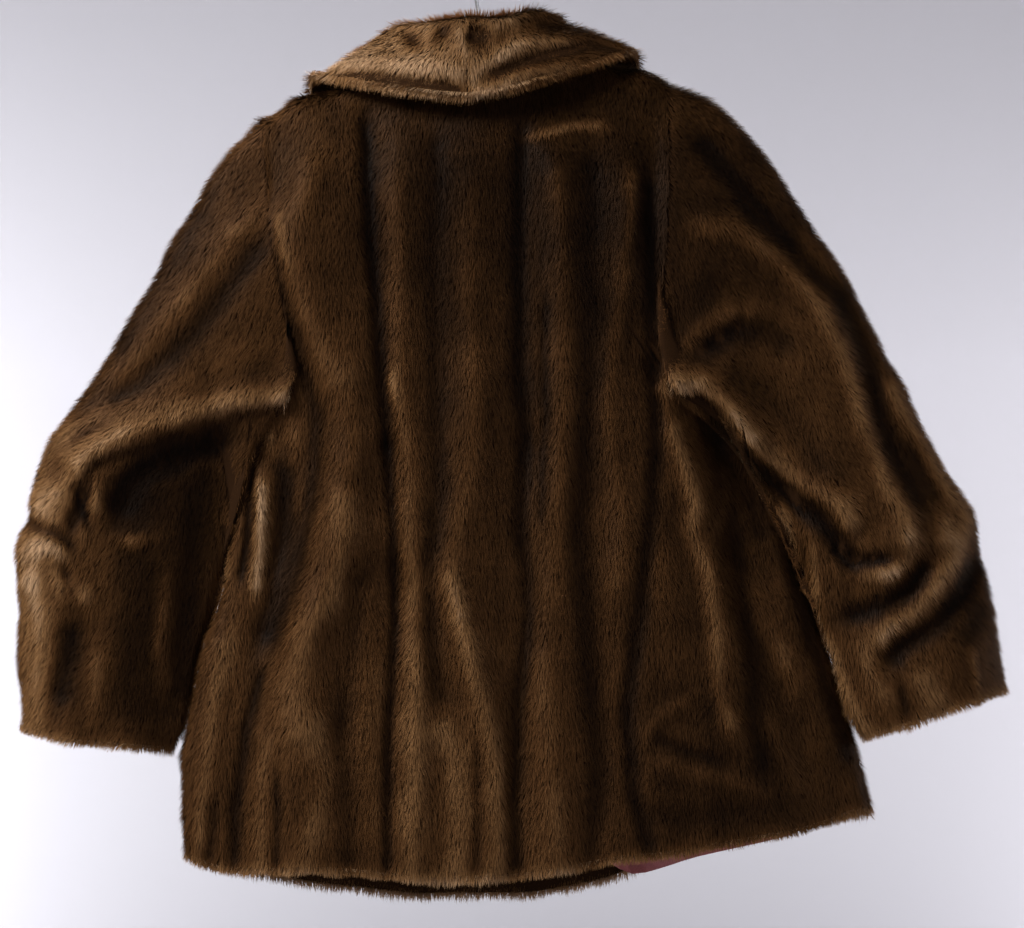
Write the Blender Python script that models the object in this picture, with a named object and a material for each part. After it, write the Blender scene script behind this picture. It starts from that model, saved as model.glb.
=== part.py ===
"""A hip-length faux fur coat that hangs from a shoulder hanger.

X runs across the coat, the back of the coat faces -Y, and Z is up. The origin is where the
hook's inside rests on a rail. The coat hangs about four degrees askew, so its two sides differ.

Each panel is a wall. Its outer surface stands off the mid plane by a depth that rounds to
nothing at the seams and carries the folds; its inner surface lies one wall inside it.
"""

import math
from collections import namedtuple

import bmesh
import bpy
import numpy as np
from mathutils import Vector

MM = 0.001

# Driving dimensions
FUR_WALL = 0.0065        # backing and pile of a fur panel
COLLAR_WALL = 0.012      # the collar is two fur walls, face to face
LINING_WALL = 0.0015
SEAM_GAP = 0.0003
BODY_DEPTH = 0.046       # half of the body's depth, between folds
BODY_ROUND = 0.017       # radius where back and front meet at a seam
BODY_PILLOW = 0.12       # how far in from a seam the body reaches its full depth
SLEEVE_DEPTH = 0.036
SLEEVE_ROUND = 0.015
SLEEVE_PILLOW = 0.06
FOLD_FADE = 0.02         # folds die away this near a seam
HOLLOW = 0.004           # the least that a trough leaves between a wall and the mid plane
HANGER_ROD = 0.0065      # radius of the hanger's shoulders
HOOK_WIRE = 0.0017       # radius of the hook's wire
HOOK_BEND = 0.021        # radius of the hook's round
FRONT_GAP = 0.003        # between the two front edges

Place = namedtuple("Place", "x z")
Fold = namedtuple("Fold", "top middle low height left_width right_width")

# Outlines, in mm. Left and right are as seen from the back.
ARMHOLE = {
    "left": [Place(-205, -166), Place(-198, -228), Place(-192, -299), Place(-178, -366),
             Place(-169, -406), Place(-174, -430), Place(-190, -449), Place(-211, -465),
             Place(-228, -484)],
    "right": [Place(180, -130), Place(179, -242), Place(173, -337), Place(169, -396),
              Place(179, -423), Place(211, -436), Place(247, -468), Place(276, -508)],
}
SIDE_SEAM = {
    "left": [Place(-228, -484), Place(-239, -584), Place(-258, -660), Place(-274, -717),
             Place(-280, -770), Place(-280, -871)],
    "right": [Place(276, -508), Place(292, -556), Place(317, -627), Place(346, -717),
              Place(358, -760), Place(376, -826)],
}
NECK_POINT = {"left": Place(-76, -107), "right": Place(74, -94)}
NAPE = [Place(-76, -107), Place(-40, -117), Place(-1, -119), Place(38, -112), Place(74, -94)]
THROAT = {
    "left": [Place(-76, -107), Place(-62, -150), Place(-34, -184), Place(-2, -196)],
    "right": [Place(74, -94), Place(62, -142), Place(36, -180), Place(2, -196)],
}
BACK_HEM = [Place(-280, -871), Place(-226, -879), Place(-141, -877), Place(-74, -884),
            Place(-36, -886), Place(40, -883), Place(78, -877), Place(121, -871),
            Place(163, -869), Place(211, -861), Place(268, -849), Place(306, -842),
            Place(353, -828), Place(376, -826)]
FRONT_HEM = {
    "left": [Place(-280, -871), Place(-226, -882), Place(-141, -893), Place(-60, -900),
             Place(-2, -901)],
    "right": [Place(376, -826), Place(306, -838), Place(211, -860), Place(160, -876),
              Place(118, -889), Place(50, -898), Place(2, -901)],
}
SLEEVE_TOP = {
    "left": [Place(-205, -166), Place(-240, -196), Place(-278, -261), Place(-312, -323),
             Place(-359, -402), Place(-405, -466), Place(-431, -537), Place(-439, -603),
             Place(-437, -670), Place(-433, -743)],
    "right": [Place(180, -130), Place(225, -144), Place(268, -195), Place(334, -290),
              Place(387, -385), Place(429, -470), Place(469, -539), Place(484, -608),
              Place(495, -670), Place(503, -708)],
}
SLEEVE_UNDER = {
    "left": [Place(-230, -484), Place(-241, -584), Place(-260, -660), Place(-276, -717),
             Place(-291, -765)],
    "right": [Place(278, -508), Place(294, -556), Place(319, -627), Place(348, -717),
              Place(367, -753)],
}
CUFF = {
    "left": [Place(-433, -743), Place(-397, -755), Place(-345, -760), Place(-291, -765)],
    "right": [Place(503, -708), Place(458, -723), Place(410, -739), Place(367, -753)],
}
# The lining's strip that hangs out of the right front's hem
LINING_LOW = [Place(124, -874), Place(146, -885), Place(172, -881), Place(205, -871),
              Place(250, -860), Place(300, -848)]
LINING_HEIGHT = 0.045
LINING_GAP = 0.005

# The collar, in mm, from the centre back to the centre front: how high it rolls above the
# neck seam, and where the edge of its fall lies.
Station = namedtuple("Station", "x y z roll")
CENTRE_BACK = -9.5
COLLAR = {
    "left": [Station(-9.5, -54, -148, 54), Station(-48, -54, -146, 51),
             Station(-90, -47, -138, 45), Station(-126, -32, -130, 36),
             Station(-150, -15, -126, 29), Station(-159, 0, -132, 26),
             Station(-160, 22, -154, 26), Station(-140, 42, -190, 26),
             Station(-106, 57, -224, 26), Station(-60, 63, -246, 25),
             Station(-5, 64, -258, 25)],
    "right": [Station(-9.5, -54, -148, 54), Station(34, -54, -141, 51),
              Station(76, -47, -126, 52), Station(118, -32, -113, 44),
              Station(143, -15, -104, 29), Station(152, 0, -108, 24),
              Station(153, 22, -130, 25), Station(136, 42, -172, 26),
              Station(104, 57, -214, 26), Station(60, 63, -242, 25),
              Station(5, 64, -258, 25)],
}
ROLL_RADIUS = 0.0085
COLLAR_HALF_WALLS = (3.0, 3.5, 5.0, 5.6, 6.0, 6.0, 6.0, 6.0, 6.0, 5.2, 3.0)
FALL_STARTS = 6           # the place in a section's line where the fall begins
FALL_SHARES = (0.0, 0.34, 0.67, 0.9, 1.0)
FALL_BULGES = (0.0, 2.8, 2.8, 0.8, 0.0)
STAND_LIFT = 0.0028       # the stand starts this far above the neck seam
STAND_INSET = 0.007       # where the neck seam runs steeply, the stand lies this far inside it
STAND_LEAN = 0.008        # and leans this far further in at its top
FRONT_STAND_LIFT = 0.0055
FALL_CLEARANCE = 0.0045   # between the fall and the shoulders

# The hanger, in mm
HANGER_SHOULDERS = [Place(-174, -166.2), Place(-150, -155.2), Place(-126, -146), Place(-64, -129),
                    Place(-22, -116), Place(0, -113), Place(22, -113.5), Place(64, -115.5),
                    Place(104, -119.5), Place(127, -125.8), Place(150, -133.6)]
HOOK_NECK = [Place(0, -106), Place(0, -80), Place(0, -62), Place(-2, -50)]

FOREARM_SHIFT = {"left": 0.0, "right": -0.010}

# Folds, in mm: three places along each, its height (troughs are negative) and how far it
# spreads to the left and to the right of the way down it.
BACK_FOLDS = [
    Fold(Place(-101, -166), Place(-93, -413), Place(-76, -622), -10, 15, 22),
    Fold(Place(-76, -600), Place(-74, -717), Place(-74, -890), -10, 15, 18),
    Fold(Place(-74, -150), Place(-72, -337), Place(-66, -527), 5, 18, 16),
    Fold(Place(-64, -560), Place(-60, -708), Place(-60, -890), 7, 15, 15),
    Fold(Place(-188, -222), Place(-190, -280), Place(-172, -366), -9, 12, 16),
    Fold(Place(-172, -366), Place(-158, -451), Place(-183, -565), -12, 17, 17),
    Fold(Place(-183, -556), Place(-212, -708), Place(-226, -890), -10, 15, 18),
    Fold(Place(-145, -176), Place(-176, -271), Place(-136, -394), 7, 18, 24),
    Fold(Place(-136, -385), Place(-126, -489), Place(-155, -641), 9, 22, 24),
    Fold(Place(-155, -622), Place(-166, -708), Place(-169, -800), 6, 22, 22),
    Fold(Place(-117, -584), Place(-136, -679), Place(-107, -890), -6, 12, 15),
    Fold(Place(-36, -622), Place(-30, -727), Place(-36, -890), -6, 13, 16),
    Fold(Place(2, -400), Place(-22, -565), Place(-10, -670), 6, 20, 20),
    Fold(Place(-10, -650), Place(13, -755), Place(19, -890), 7, 16, 16),
    Fold(Place(48, -195), Place(53, -356), Place(46, -480), -6, 20, 15),
    Fold(Place(46, -470), Place(38, -679), Place(32, -890), -9, 18, 17),
    Fold(Place(72, -204), Place(84, -328), Place(70, -527), 6, 16, 20),
    Fold(Place(70, -620), Place(74, -740), Place(72, -890), 6, 18, 18),
    Fold(Place(104, -470), Place(120, -622), Place(114, -820), -6, 16, 16),
    Fold(Place(140, -214), Place(137, -337), Place(138, -584), 6, 17, 15),
    Fold(Place(163, -200), Place(172, -300), Place(176, -400), -6, 12, 8),
    Fold(Place(176, -455), Place(200, -556), Place(232, -708), -9, 13, 13),
    Fold(Place(200, -470), Place(224, -580), Place(250, -700), 7, 12, 17),
    Fold(Place(250, -560), Place(275, -679), Place(306, -793), -7, 15, 15),
    Fold(Place(154, -760), Place(178, -732), Place(201, -706), -4, 9, 9),
    Fold(Place(205, -775), Place(240, -795), Place(275, -795), -4, 9, 9),
    Fold(Place(-172, -440), Place(-192, -466), Place(-216, -492), -17, 12, 13),
    Fold(Place(192, -442), Place(232, -474), Place(264, -520), -17, 13, 12),
]
FRONT_FOLDS = [
    Fold(Place(-150, -230), Place(-158, -500), Place(-190, -890), -9, 17, 17),
    Fold(Place(-112, -250), Place(-118, -520), Place(-126, -890), 7, 20, 20),
    Fold(Place(-74, -330), Place(-78, -600), Place(-72, -890), -7, 16, 16),
    Fold(Place(-36, -300), Place(-34, -600), Place(-32, -890), 5, 17, 17),
    Fold(Place(-205, -560), Place(-228, -720), Place(-236, -890), 6, 16, 16),
    Fold(Place(40, -320), Place(42, -560), Place(46, -890), -6, 17, 17),
    Fold(Place(82, -250), Place(86, -520), Place(92, -890), 6, 19, 19),
    Fold(Place(124, -260), Place(132, -540), Place(150, -890), -9, 16, 18),
    Fold(Place(166, -470), Place(186, -640), Place(204, -860), 7, 18, 18),
    Fold(Place(214, -540), Place(242, -700), Place(268, -850), -8, 17, 17),
    Fold(Place(-172, -440), Place(-192, -466), Place(-216, -492), -12, 12, 13),
    Fold(Place(192, -442), Place(232, -474), Place(264, -520), -12, 13, 12),
]
SLEEVE_FOLDS = {
    "left": [
        Fold(Place(-172, -424), Place(-206, -432), Place(-246, -444), 8, 9, 30),
        Fold(Place(-238, -440), Place(-302, -466), Place(-370, -512), 9, 9, 30),
        Fold(Place(-250, -474), Place(-312, -502), Place(-344, -560), -13, 24, 17),
        Fold(Place(-272, -500), Place(-290, -613), Place(-312, -717), -8, 20, 28),
        Fold(Place(-350, -480), Place(-392, -512), Place(-414, -565), 6, 17, 20),
        Fold(Place(-359, -532), Place(-383, -560), Place(-410, -556), -5, 9, 11),
        Fold(Place(-305, -562), Place(-331, -568), Place(-359, -556), 6, 13, 9),
        Fold(Place(-231, -230), Place(-293, -318), Place(-364, -423), 4, 26, 20),
        Fold(Place(-216, -280), Place(-264, -366), Place(-331, -435), -5, 18, 18),
        Fold(Place(-402, -584), Place(-396, -670), Place(-400, -770), 5, 18, 18),
        Fold(Place(-368, -594), Place(-356, -670), Place(-358, -780), -5, 15, 15),
        Fold(Place(-318, -640), Place(-318, -698), Place(-326, -780), 5, 16, 16),
    ],
    "right": [
        Fold(Place(176, -416), Place(206, -426), Place(250, -462), 9, 30, 9),
        Fold(Place(246, -458), Place(306, -530), Place(387, -582), 11, 32, 9),
        Fold(Place(215, -175), Place(306, -328), Place(382, -499), -9, 17, 17),
        Fold(Place(235, -256), Place(306, -345), Place(366, -470), 6, 20, 14),
        Fold(Place(330, -320), Place(400, -440), Place(450, -527), 6, 20, 17),
        Fold(Place(201, -372), Place(230, -346), Place(273, -354), -5, 11, 13),
        Fold(Place(372, -527), Place(396, -546), Place(415, -570), 5, 12, 12),
        Fold(Place(463, -542), Place(444, -613), Place(368, -656), -6, 12, 15),
        Fold(Place(306, -555), Place(340, -600), Place(400, -612), -11, 15, 17),
        Fold(Place(318, -610), Place(340, -670), Place(385, -740), 5, 15, 14),
        Fold(Place(405, -650), Place(425, -698), Place(448, -745), -6, 13, 14),
        Fold(Place(462, -600), Place(468, -650), Place(478, -735), 5, 16, 14),
    ],
}

# Grid sizes
SEAM_STEPS = (0.0, 0.134, 0.5, 1.0)     # shares of the seam's radius, every 30 degrees round
ARMHOLE_STEPS = 7                       # rows between the roundings of an armhole
SIDE_ROWS = 13
BACK_COLUMNS = 32
FRONT_COLUMNS = 15
SLEEVE_RINGS = 21
RING_BLEND = 5                          # rings over which a sleeve leaves the armhole's form
CURVE_POINTS = 160
EDGE_REACH = 3.0                        # how soon the bends of a panel's sides die away
COLLAR_STATIONS = 13


def clear_scene():
    for item in list(bpy.data.objects):
        bpy.data.objects.remove(item, do_unlink=True)


def material(name, colour, roughness, metallic=0.0):
    made = bpy.data.materials.new(name)
    made.use_nodes = True
    shader = made.node_tree.nodes["Principled BSDF"]
    shader.inputs["Base Color"].default_value = (*colour, 1.0)
    shader.inputs["Roughness"].default_value = roughness
    shader.inputs["Metallic"].default_value = metallic
    return made


def smooth_curve(places):
    """A Catmull-Rom curve through the places, in metres, evenly dense in its parameter."""
    knots = np.array(places, float) * MM
    ends = np.vstack([2 * knots[0] - knots[1], knots, 2 * knots[-1] - knots[-2]])
    at = np.linspace(0, len(knots) - 1, CURVE_POINTS)
    first = np.minimum(at.astype(int), len(knots) - 2)
    t = (at - first)[:, None]
    a, b, c, d = (ends[first + k] for k in range(4))
    return 0.5 * (2 * b + (c - a) * t + (2 * a - 5 * b + 4 * c - d) * t**2
                  + (3 * b - a - 3 * c + d) * t**3)


def arc_lengths(curve):
    steps = np.linalg.norm(np.diff(curve, axis=0), axis=1)
    return np.concatenate([[0.0], np.cumsum(steps)])


def along(curve, lengths):
    """The curve's points at these distances from its start."""
    at = arc_lengths(curve)
    return np.stack([np.interp(lengths, at, curve[:, k]) for k in range(curve.shape[1])], 1)


def span(curve):
    return arc_lengths(curve)[-1]


def nearest(points, curve):
    """Distance from each point to the curve, and the direction away from it."""
    shape = points.shape[:-1]
    flat = points.reshape(-1, 2)
    starts, steps = curve[:-1], np.diff(curve, axis=0)
    reach = ((flat[:, None] - starts) * steps).sum(2) / np.maximum((steps**2).sum(1), 1e-18)
    feet = starts + np.clip(reach, 0, 1)[:, :, None] * steps
    away = flat[:, None] - feet
    far = np.linalg.norm(away, axis=2)
    pick = far.argmin(1)
    rows = np.arange(len(flat))
    distance = far[rows, pick]
    direction = away[rows, pick] / np.maximum(distance, 1e-9)[:, None]
    return distance.reshape(shape), direction.reshape(*shape, 2)


def rounded(distance, radius):
    """From 0 at a seam to 1 a radius inside it, round like a quarter circle."""
    rest = 1 - np.clip(distance / radius, 0, 1)
    return np.sqrt(np.maximum(1 - rest**2, 0))


def eased(distance, reach):
    share = np.clip(distance / reach, 0, 1)
    return share * share * (3 - 2 * share)


def fold_height(points, folds):
    """The sum of the folds at these places, in metres."""
    total = np.zeros(points.shape[:-1])
    t = np.linspace(0, 1, 17)[:, None]
    for fold in folds:
        top, middle, low = (np.array(place, float) * MM for place in fold[:3])
        pull = 2 * middle - 0.5 * (top + low)
        path = (1 - t) ** 2 * top + 2 * t * (1 - t) * pull + t**2 * low
        offset = points[..., None, :] - path
        far = np.linalg.norm(offset, axis=-1)
        pick = far.argmin(-1)
        heading = np.gradient(path, axis=0)[pick]
        near = np.take_along_axis(offset, pick[..., None, None], -2)[..., 0, :]
        right = heading[..., 0] * near[..., 1] - heading[..., 1] * near[..., 0] > 0
        width = np.where(right, fold.right_width, fold.left_width) * MM
        total += fold.height * MM * np.exp(-(far.min(-1) / width) ** 2)
    return total


def folded(depth, folds, fade):
    """The depth with the folds on it; a trough stops short of the mid plane."""
    room = np.maximum(depth - FUR_WALL - HOLLOW, 1e-4)
    deep = room * np.tanh(np.minimum(folds, 0) / room)
    return depth + fade * (deep + np.maximum(folds, 0))


def depth_and_lean(points, seams, directions, depth, radius, pillow):
    """How far the surface stands off the mid plane, how flat it faces, and its lean inwards.

    seams are curves that the surface rounds down to. directions, one per seam, holds the
    way into the panel for the points that lie right on that seam, or None.
    """
    share = np.ones(points.shape[:-1])
    full = np.ones(points.shape[:-1])
    lean = np.zeros(points.shape)
    for seam, inward in zip(seams, directions):
        distance, away = nearest(points, seam)
        if inward is not None:
            away = np.where((distance < 1e-5)[..., None], inward, away)
        share = share * rounded(distance, radius)
        full = full * eased(distance, pillow)
        lean = lean + (1 - np.clip(distance / radius, 0, 1))[..., None] * away
    return radius * share + (depth - radius) * full, share, lean


def wall_offset(share, lean, side):
    """The unit step from the outer to the inner surface."""
    step = np.concatenate([lean, -side * share[..., None]], -1)[..., [0, 2, 1]]
    return step / np.maximum(np.linalg.norm(step, axis=-1, keepdims=True), 1e-9)


def coons(top, low, left, right, across, down, reach=1.0):
    """A grid of points between four edges that meet at their ends.

    The higher the reach, the less far the bends of the left and right edges are felt.
    """
    u, v = across[..., None], down[:, None, None]
    left_line = (1 - v) * left[0] + v * left[-1]
    right_line = (1 - v) * right[0] + v * right[-1]
    body = (1 - v) * top[None] + v * low[None]
    from_left = (1 - u) ** reach * (left[:, None] - left_line)
    return body + from_left + u**reach * (right[:, None] - right_line)


def armhole_lengths(curve):
    whole = span(curve)
    ends = np.array(SEAM_STEPS) * BODY_ROUND
    middle = np.linspace(BODY_ROUND, whole - BODY_ROUND, ARMHOLE_STEPS + 1)[1:-1]
    return np.concatenate([ends, middle, whole - ends[::-1]])


def side_edge(side):
    """The points down a panel's side: its armhole, then its side seam."""
    armhole = smooth_curve(ARMHOLE[side])
    seam = smooth_curve(SIDE_SEAM[side])
    below = np.linspace(0, span(seam), SIDE_ROWS + 1)[1:]
    return np.vstack([along(armhole, armhole_lengths(armhole)), along(seam, below)])


ARMHOLE_ROWS = 2 * len(SEAM_STEPS) + ARMHOLE_STEPS - 1


def shares(curve, seam_at_start, seam_at_end, count):
    """Shares of the curve's length, close together where the panel rounds to a seam."""
    whole = span(curve)
    ends = np.array(SEAM_STEPS) * BODY_ROUND / whole
    start = ends if seam_at_start else np.array([0.0])
    end = 1 - ends[::-1] if seam_at_end else np.array([1.0])
    return np.concatenate([start, np.linspace(start[-1], end[0], count + 1)[1:-1], end])


def body_depth(plan, seams, directions, folds):
    depth, share, lean = depth_and_lean(plan, seams, directions, BODY_DEPTH, BODY_ROUND,
                                        BODY_PILLOW)
    fade = np.ones(plan.shape[:-1])
    for seam in seams:
        fade = fade * eased(nearest(plan, seam)[0], FOLD_FADE)
    return folded(depth, fold_height(plan, folds), fade), share, lean


def body_panel(top, low, left, right, down, columns, seam_ends, seams, directions, side, folds):
    """(outer, inner) grids of a body panel. side is -1 for the back and 1 for a front."""
    top_at = shares(top, *seam_ends, columns)
    low_at = shares(low, *seam_ends, columns)
    across = (1 - down)[:, None] * top_at + down[:, None] * low_at
    plan = coons(along(top, top_at * span(top)), along(low, low_at * span(low)),
                 left, right, across, down, EDGE_REACH)
    depth, share, lean = body_depth(plan, seams, directions, folds)
    outer = np.stack([plan[..., 0], side * (depth + SEAM_GAP / 2), plan[..., 1]], -1)
    return outer, outer + FUR_WALL * wall_offset(share, lean, side)


def mesh_object(name, vertices, faces, look, collection):
    mesh = bpy.data.meshes.new(name)
    mesh.from_pydata([tuple(v) for v in vertices], [], faces)
    work = bmesh.new()
    work.from_mesh(mesh)
    bmesh.ops.recalc_face_normals(work, faces=work.faces)
    if work.calc_volume(signed=True) < 0:
        bmesh.ops.reverse_faces(work, faces=work.faces)
    work.to_mesh(mesh)
    work.free()
    mesh.shade_smooth()
    mesh.set_sharp_from_angle(angle=math.radians(50))
    mesh.materials.append(look)
    made = bpy.data.objects.new(name, mesh)
    collection.objects.link(made)
    return made


def panel_object(name, outer, inner, look, collection):
    """A closed wall between two open grids."""
    rows, columns = outer.shape[:2]
    count = rows * columns

    def at(row, column, layer=0):
        return layer * count + row * columns + column

    faces = []
    for j in range(rows - 1):
        for i in range(columns - 1):
            faces.append((at(j, i), at(j, i + 1), at(j + 1, i + 1), at(j + 1, i)))
            faces.append((at(j, i, 1), at(j + 1, i, 1), at(j + 1, i + 1, 1), at(j, i + 1, 1)))
    rim = [(0, i) for i in range(columns)] + [(j, columns - 1) for j in range(1, rows)]
    rim += [(rows - 1, i) for i in range(columns - 2, -1, -1)]
    rim += [(j, 0) for j in range(rows - 2, 0, -1)]
    for a, b in zip(rim, rim[1:] + rim[:1]):
        faces.append((at(*b), at(*a), at(*a, 1), at(*b, 1)))
    points = np.vstack([outer.reshape(-1, 3), inner.reshape(-1, 3)])
    return mesh_object(name, points, faces, look, collection)


def tube_object(name, outer, inner, look, collection):
    """A closed wall between two grids of rings, open at both ends."""
    rings, around = outer.shape[:2]
    count = rings * around

    def at(ring, place, layer=0):
        return layer * count + ring * around + place % around

    faces = []
    for j in range(rings - 1):
        for i in range(around):
            faces.append((at(j, i), at(j, i + 1), at(j + 1, i + 1), at(j + 1, i)))
            faces.append((at(j, i, 1), at(j + 1, i, 1), at(j + 1, i + 1, 1), at(j, i + 1, 1)))
    for i in range(around):
        faces.append((at(0, i + 1), at(0, i), at(0, i, 1), at(0, i + 1, 1)))
        end = rings - 1
        faces.append((at(end, i), at(end, i + 1), at(end, i + 1, 1), at(end, i, 1)))
    points = np.vstack([outer.reshape(-1, 3), inner.reshape(-1, 3)])
    return mesh_object(name, points, faces, look, collection)


def shoulder_line(side):
    tip, neck = ARMHOLE[side][0], NECK_POINT[side]
    return np.array([tip, neck], float) * MM


def down_shares(*edges):
    """How far down each row lies, from 0 to 1: close together at the shoulder, then even."""
    down = [(edge[0, 1] - edge[:, 1]) / (edge[0, 1] - edge[-1, 1]) for edge in edges]
    down = np.mean(down, axis=0)
    last = len(SEAM_STEPS) - 1
    return np.concatenate([down[:last], np.linspace(down[last], 1, len(down) - last)])


def join_curves(*curves):
    return np.vstack([curves[0], *[curve[1:] for curve in curves[1:]]])


def build_back(look, collection):
    left, right = side_edge("left"), side_edge("right")
    top = join_curves(shoulder_line("left"), smooth_curve(NAPE), shoulder_line("right")[::-1])
    seams = [shoulder_line("left"), shoulder_line("right"), smooth_curve(SIDE_SEAM["left"]),
             smooth_curve(SIDE_SEAM["right"])]
    directions = [(0.1, -1.0), (-0.1, -1.0), (1.0, 0.0), (-1.0, 0.0)]
    outer, inner = body_panel(top, smooth_curve(BACK_HEM), left, right,
                              down_shares(left, right), BACK_COLUMNS, (True, True), seams,
                              directions, -1, BACK_FOLDS)
    panel_object("back", outer, inner, look, collection)
    return outer, inner


def build_front(side, look, collection):
    """One front, from its side seam to its front edge on the centre line."""
    sign = -1 if side == "left" else 1
    edge = side_edge(side)
    shoulder = shoulder_line(side)
    throat = smooth_curve(THROAT[side])
    top = join_curves(shoulder, throat)
    hem = smooth_curve(FRONT_HEM[side])
    down = down_shares(edge)
    front_x = sign * FRONT_GAP / 2
    top[-1, 0] = front_x
    hem[-1, 0] = front_x
    front_edge = (1 - down)[:, None] * top[-1] + down[:, None] * hem[-1]
    seams = [shoulder, smooth_curve(SIDE_SEAM[side])]
    directions = [(-0.1 * sign, -1.0), (-sign, 0.0)]
    outer, inner = body_panel(top, hem, edge, front_edge, down, FRONT_COLUMNS, (True, False),
                              seams, directions, 1, FRONT_FOLDS)
    panel_object("front_" + side, outer, inner, look, collection)
    return outer, inner


def build_sleeve(side, back, front, look, collection):
    """A sleeve: flattened rings from the armhole's edge down to the cuff."""
    top, under = smooth_curve(SLEEVE_TOP[side]), smooth_curve(SLEEVE_UNDER[side])
    armhole = along(smooth_curve(ARMHOLE[side]), armhole_lengths(smooth_curve(ARMHOLE[side])))
    down = np.linspace(0, 1, SLEEVE_RINGS)
    across = arc_lengths(armhole) / span(armhole)
    cuff = smooth_curve(CUFF[side])
    plan = coons(armhole, along(cuff, across * span(cuff)), along(top, down * span(top)),
                 along(under, down * span(under)), np.tile(across, (SLEEVE_RINGS, 1)), down)
    way = np.gradient(plan, axis=1)
    way = way / np.linalg.norm(way, axis=-1, keepdims=True)
    depth, share, lean = depth_and_lean(plan, (top, under), (way[0, 0], -way[-1, -1]),
                                        SLEEVE_DEPTH, SLEEVE_ROUND, SLEEVE_PILLOW)
    lean[:, 0] = way[:, 0]
    lean[:, -1] = -way[:, -1]
    fade = eased(nearest(plan, top)[0], FOLD_FADE) * eased(nearest(plan, under)[0], FOLD_FADE)
    depth = folded(depth, fold_height(plan, SLEEVE_FOLDS[side]), fade)
    blend = eased(np.arange(SLEEVE_RINGS), RING_BLEND)[:, None]
    outward = np.gradient(plan, axis=0)[0]
    outward = outward / np.linalg.norm(outward, axis=-1, keepdims=True)
    shift = FOREARM_SHIFT[side] * eased(down, 0.6)[:, None]
    halves = []
    for facing, (body_outer, body_inner) in ((-1, back), (1, front)):
        own_outer = np.stack([plan[..., 0], facing * depth, plan[..., 1]], -1)
        own_step = FUR_WALL * wall_offset(share, lean, facing)
        body_step = (body_inner - body_outer)[None]
        step = (1 - blend[..., None]) * body_step + blend[..., None] * own_step
        step = FUR_WALL * step / np.linalg.norm(step, axis=-1, keepdims=True)
        outer = own_outer.copy()
        body_depth = (body_outer[:, 1] - facing * SEAM_GAP / 2)[None]
        outer[..., 1] = (1 - blend) * body_depth + blend * own_outer[..., 1]
        inner = outer + step
        for grid in (outer, inner):
            grid[0, :, 0] += SEAM_GAP * outward[:, 0]
            grid[0, :, 2] += SEAM_GAP * outward[:, 1]
            grid[..., 1] += shift
        halves.append((outer, inner))
    (back_outer, back_inner), (front_outer, front_inner) = halves
    for k in (0, -1):
        back_inner[:, k, 1] = shift[:, 0]
    outer = np.concatenate([back_outer, front_outer[:, -2:0:-1]], axis=1)
    inner = np.concatenate([back_inner, front_inner[:, -2:0:-1]], axis=1)
    tube_object("sleeve_" + side, outer, inner, look, collection)
    return outer, inner


def neck_seam(side):
    """The neckline from the centre back round to the front edge, as (x, y, z)."""
    nape = smooth_curve(NAPE)
    if side == "left":
        nape = nape[::-1]
    nape = nape[np.abs(nape[:, 0] - CENTRE_BACK * MM).argmin():]
    throat = smooth_curve(THROAT[side])
    seams = [shoulder_line("left"), shoulder_line("right")]
    level = [(0.0, -1.0)] * 2
    rows = []
    for curve, facing in ((nape, -1), (throat[1:], 1)):
        depth = body_depth(curve, seams, level, [])[0] - FUR_WALL / 2
        rows.append(np.stack([curve[:, 0], facing * np.maximum(depth, 0), curve[:, 1]], -1))
    return np.vstack(rows)


def height_over_shoulder(x, z, side):
    """How far from the mid plane the collar's middle clears the body at this place."""
    place = np.array([[x, z]])
    tip, neck = shoulder_line(side)
    run = (neck - tip) / np.linalg.norm(neck - tip)
    inward = np.array([run[1], -run[0]]) if run[0] > 0 else np.array([-run[1], run[0]])
    inside = min(float((place[0] - tip) @ inward), BODY_ROUND)
    reach = BODY_ROUND + COLLAR_WALL / 2 + FALL_CLEARANCE
    around = math.sqrt(max(reach**2 - (BODY_ROUND - inside) ** 2, 0))
    seams = [shoulder_line("left"), shoulder_line("right")]
    depth, share, _ = depth_and_lean(place, seams, [None, None], BODY_DEPTH, BODY_ROUND,
                                     BODY_PILLOW)
    ridge = max(float(fold_height(place, FRONT_FOLDS)[0]), 0)
    ridge = max(float(fold_height(place, BACK_FOLDS)[0]), ridge)
    beyond = float(depth[0] - BODY_ROUND * share[0]) if inside > 0 else 0
    return around + beyond + (ridge if inside > 0 else 0)


def section_line(reach, drop, roll, foot):
    """The middle of a collar section: up the stand, over the roll and down the fall."""
    stand_top = roll - COLLAR_WALL / 2 - ROLL_RADIUS
    radius = min(ROLL_RADIUS, reach / 2)
    line = [(0.0, foot), (0.0, (foot + stand_top) / 2), (0.0, stand_top)]
    for degrees in (50, 90, 130):
        turn = math.radians(degrees)
        line.append((radius * (1 - math.cos(turn)), stand_top + radius * math.sin(turn)))
    for share, bulge in zip(FALL_SHARES, FALL_BULGES):
        x = 2 * radius + (reach - 2 * radius) * share
        z = stand_top + (drop - stand_top) * share
        line.append((x + bulge * MM, z + bulge * MM))
    return np.array(line)


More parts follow.
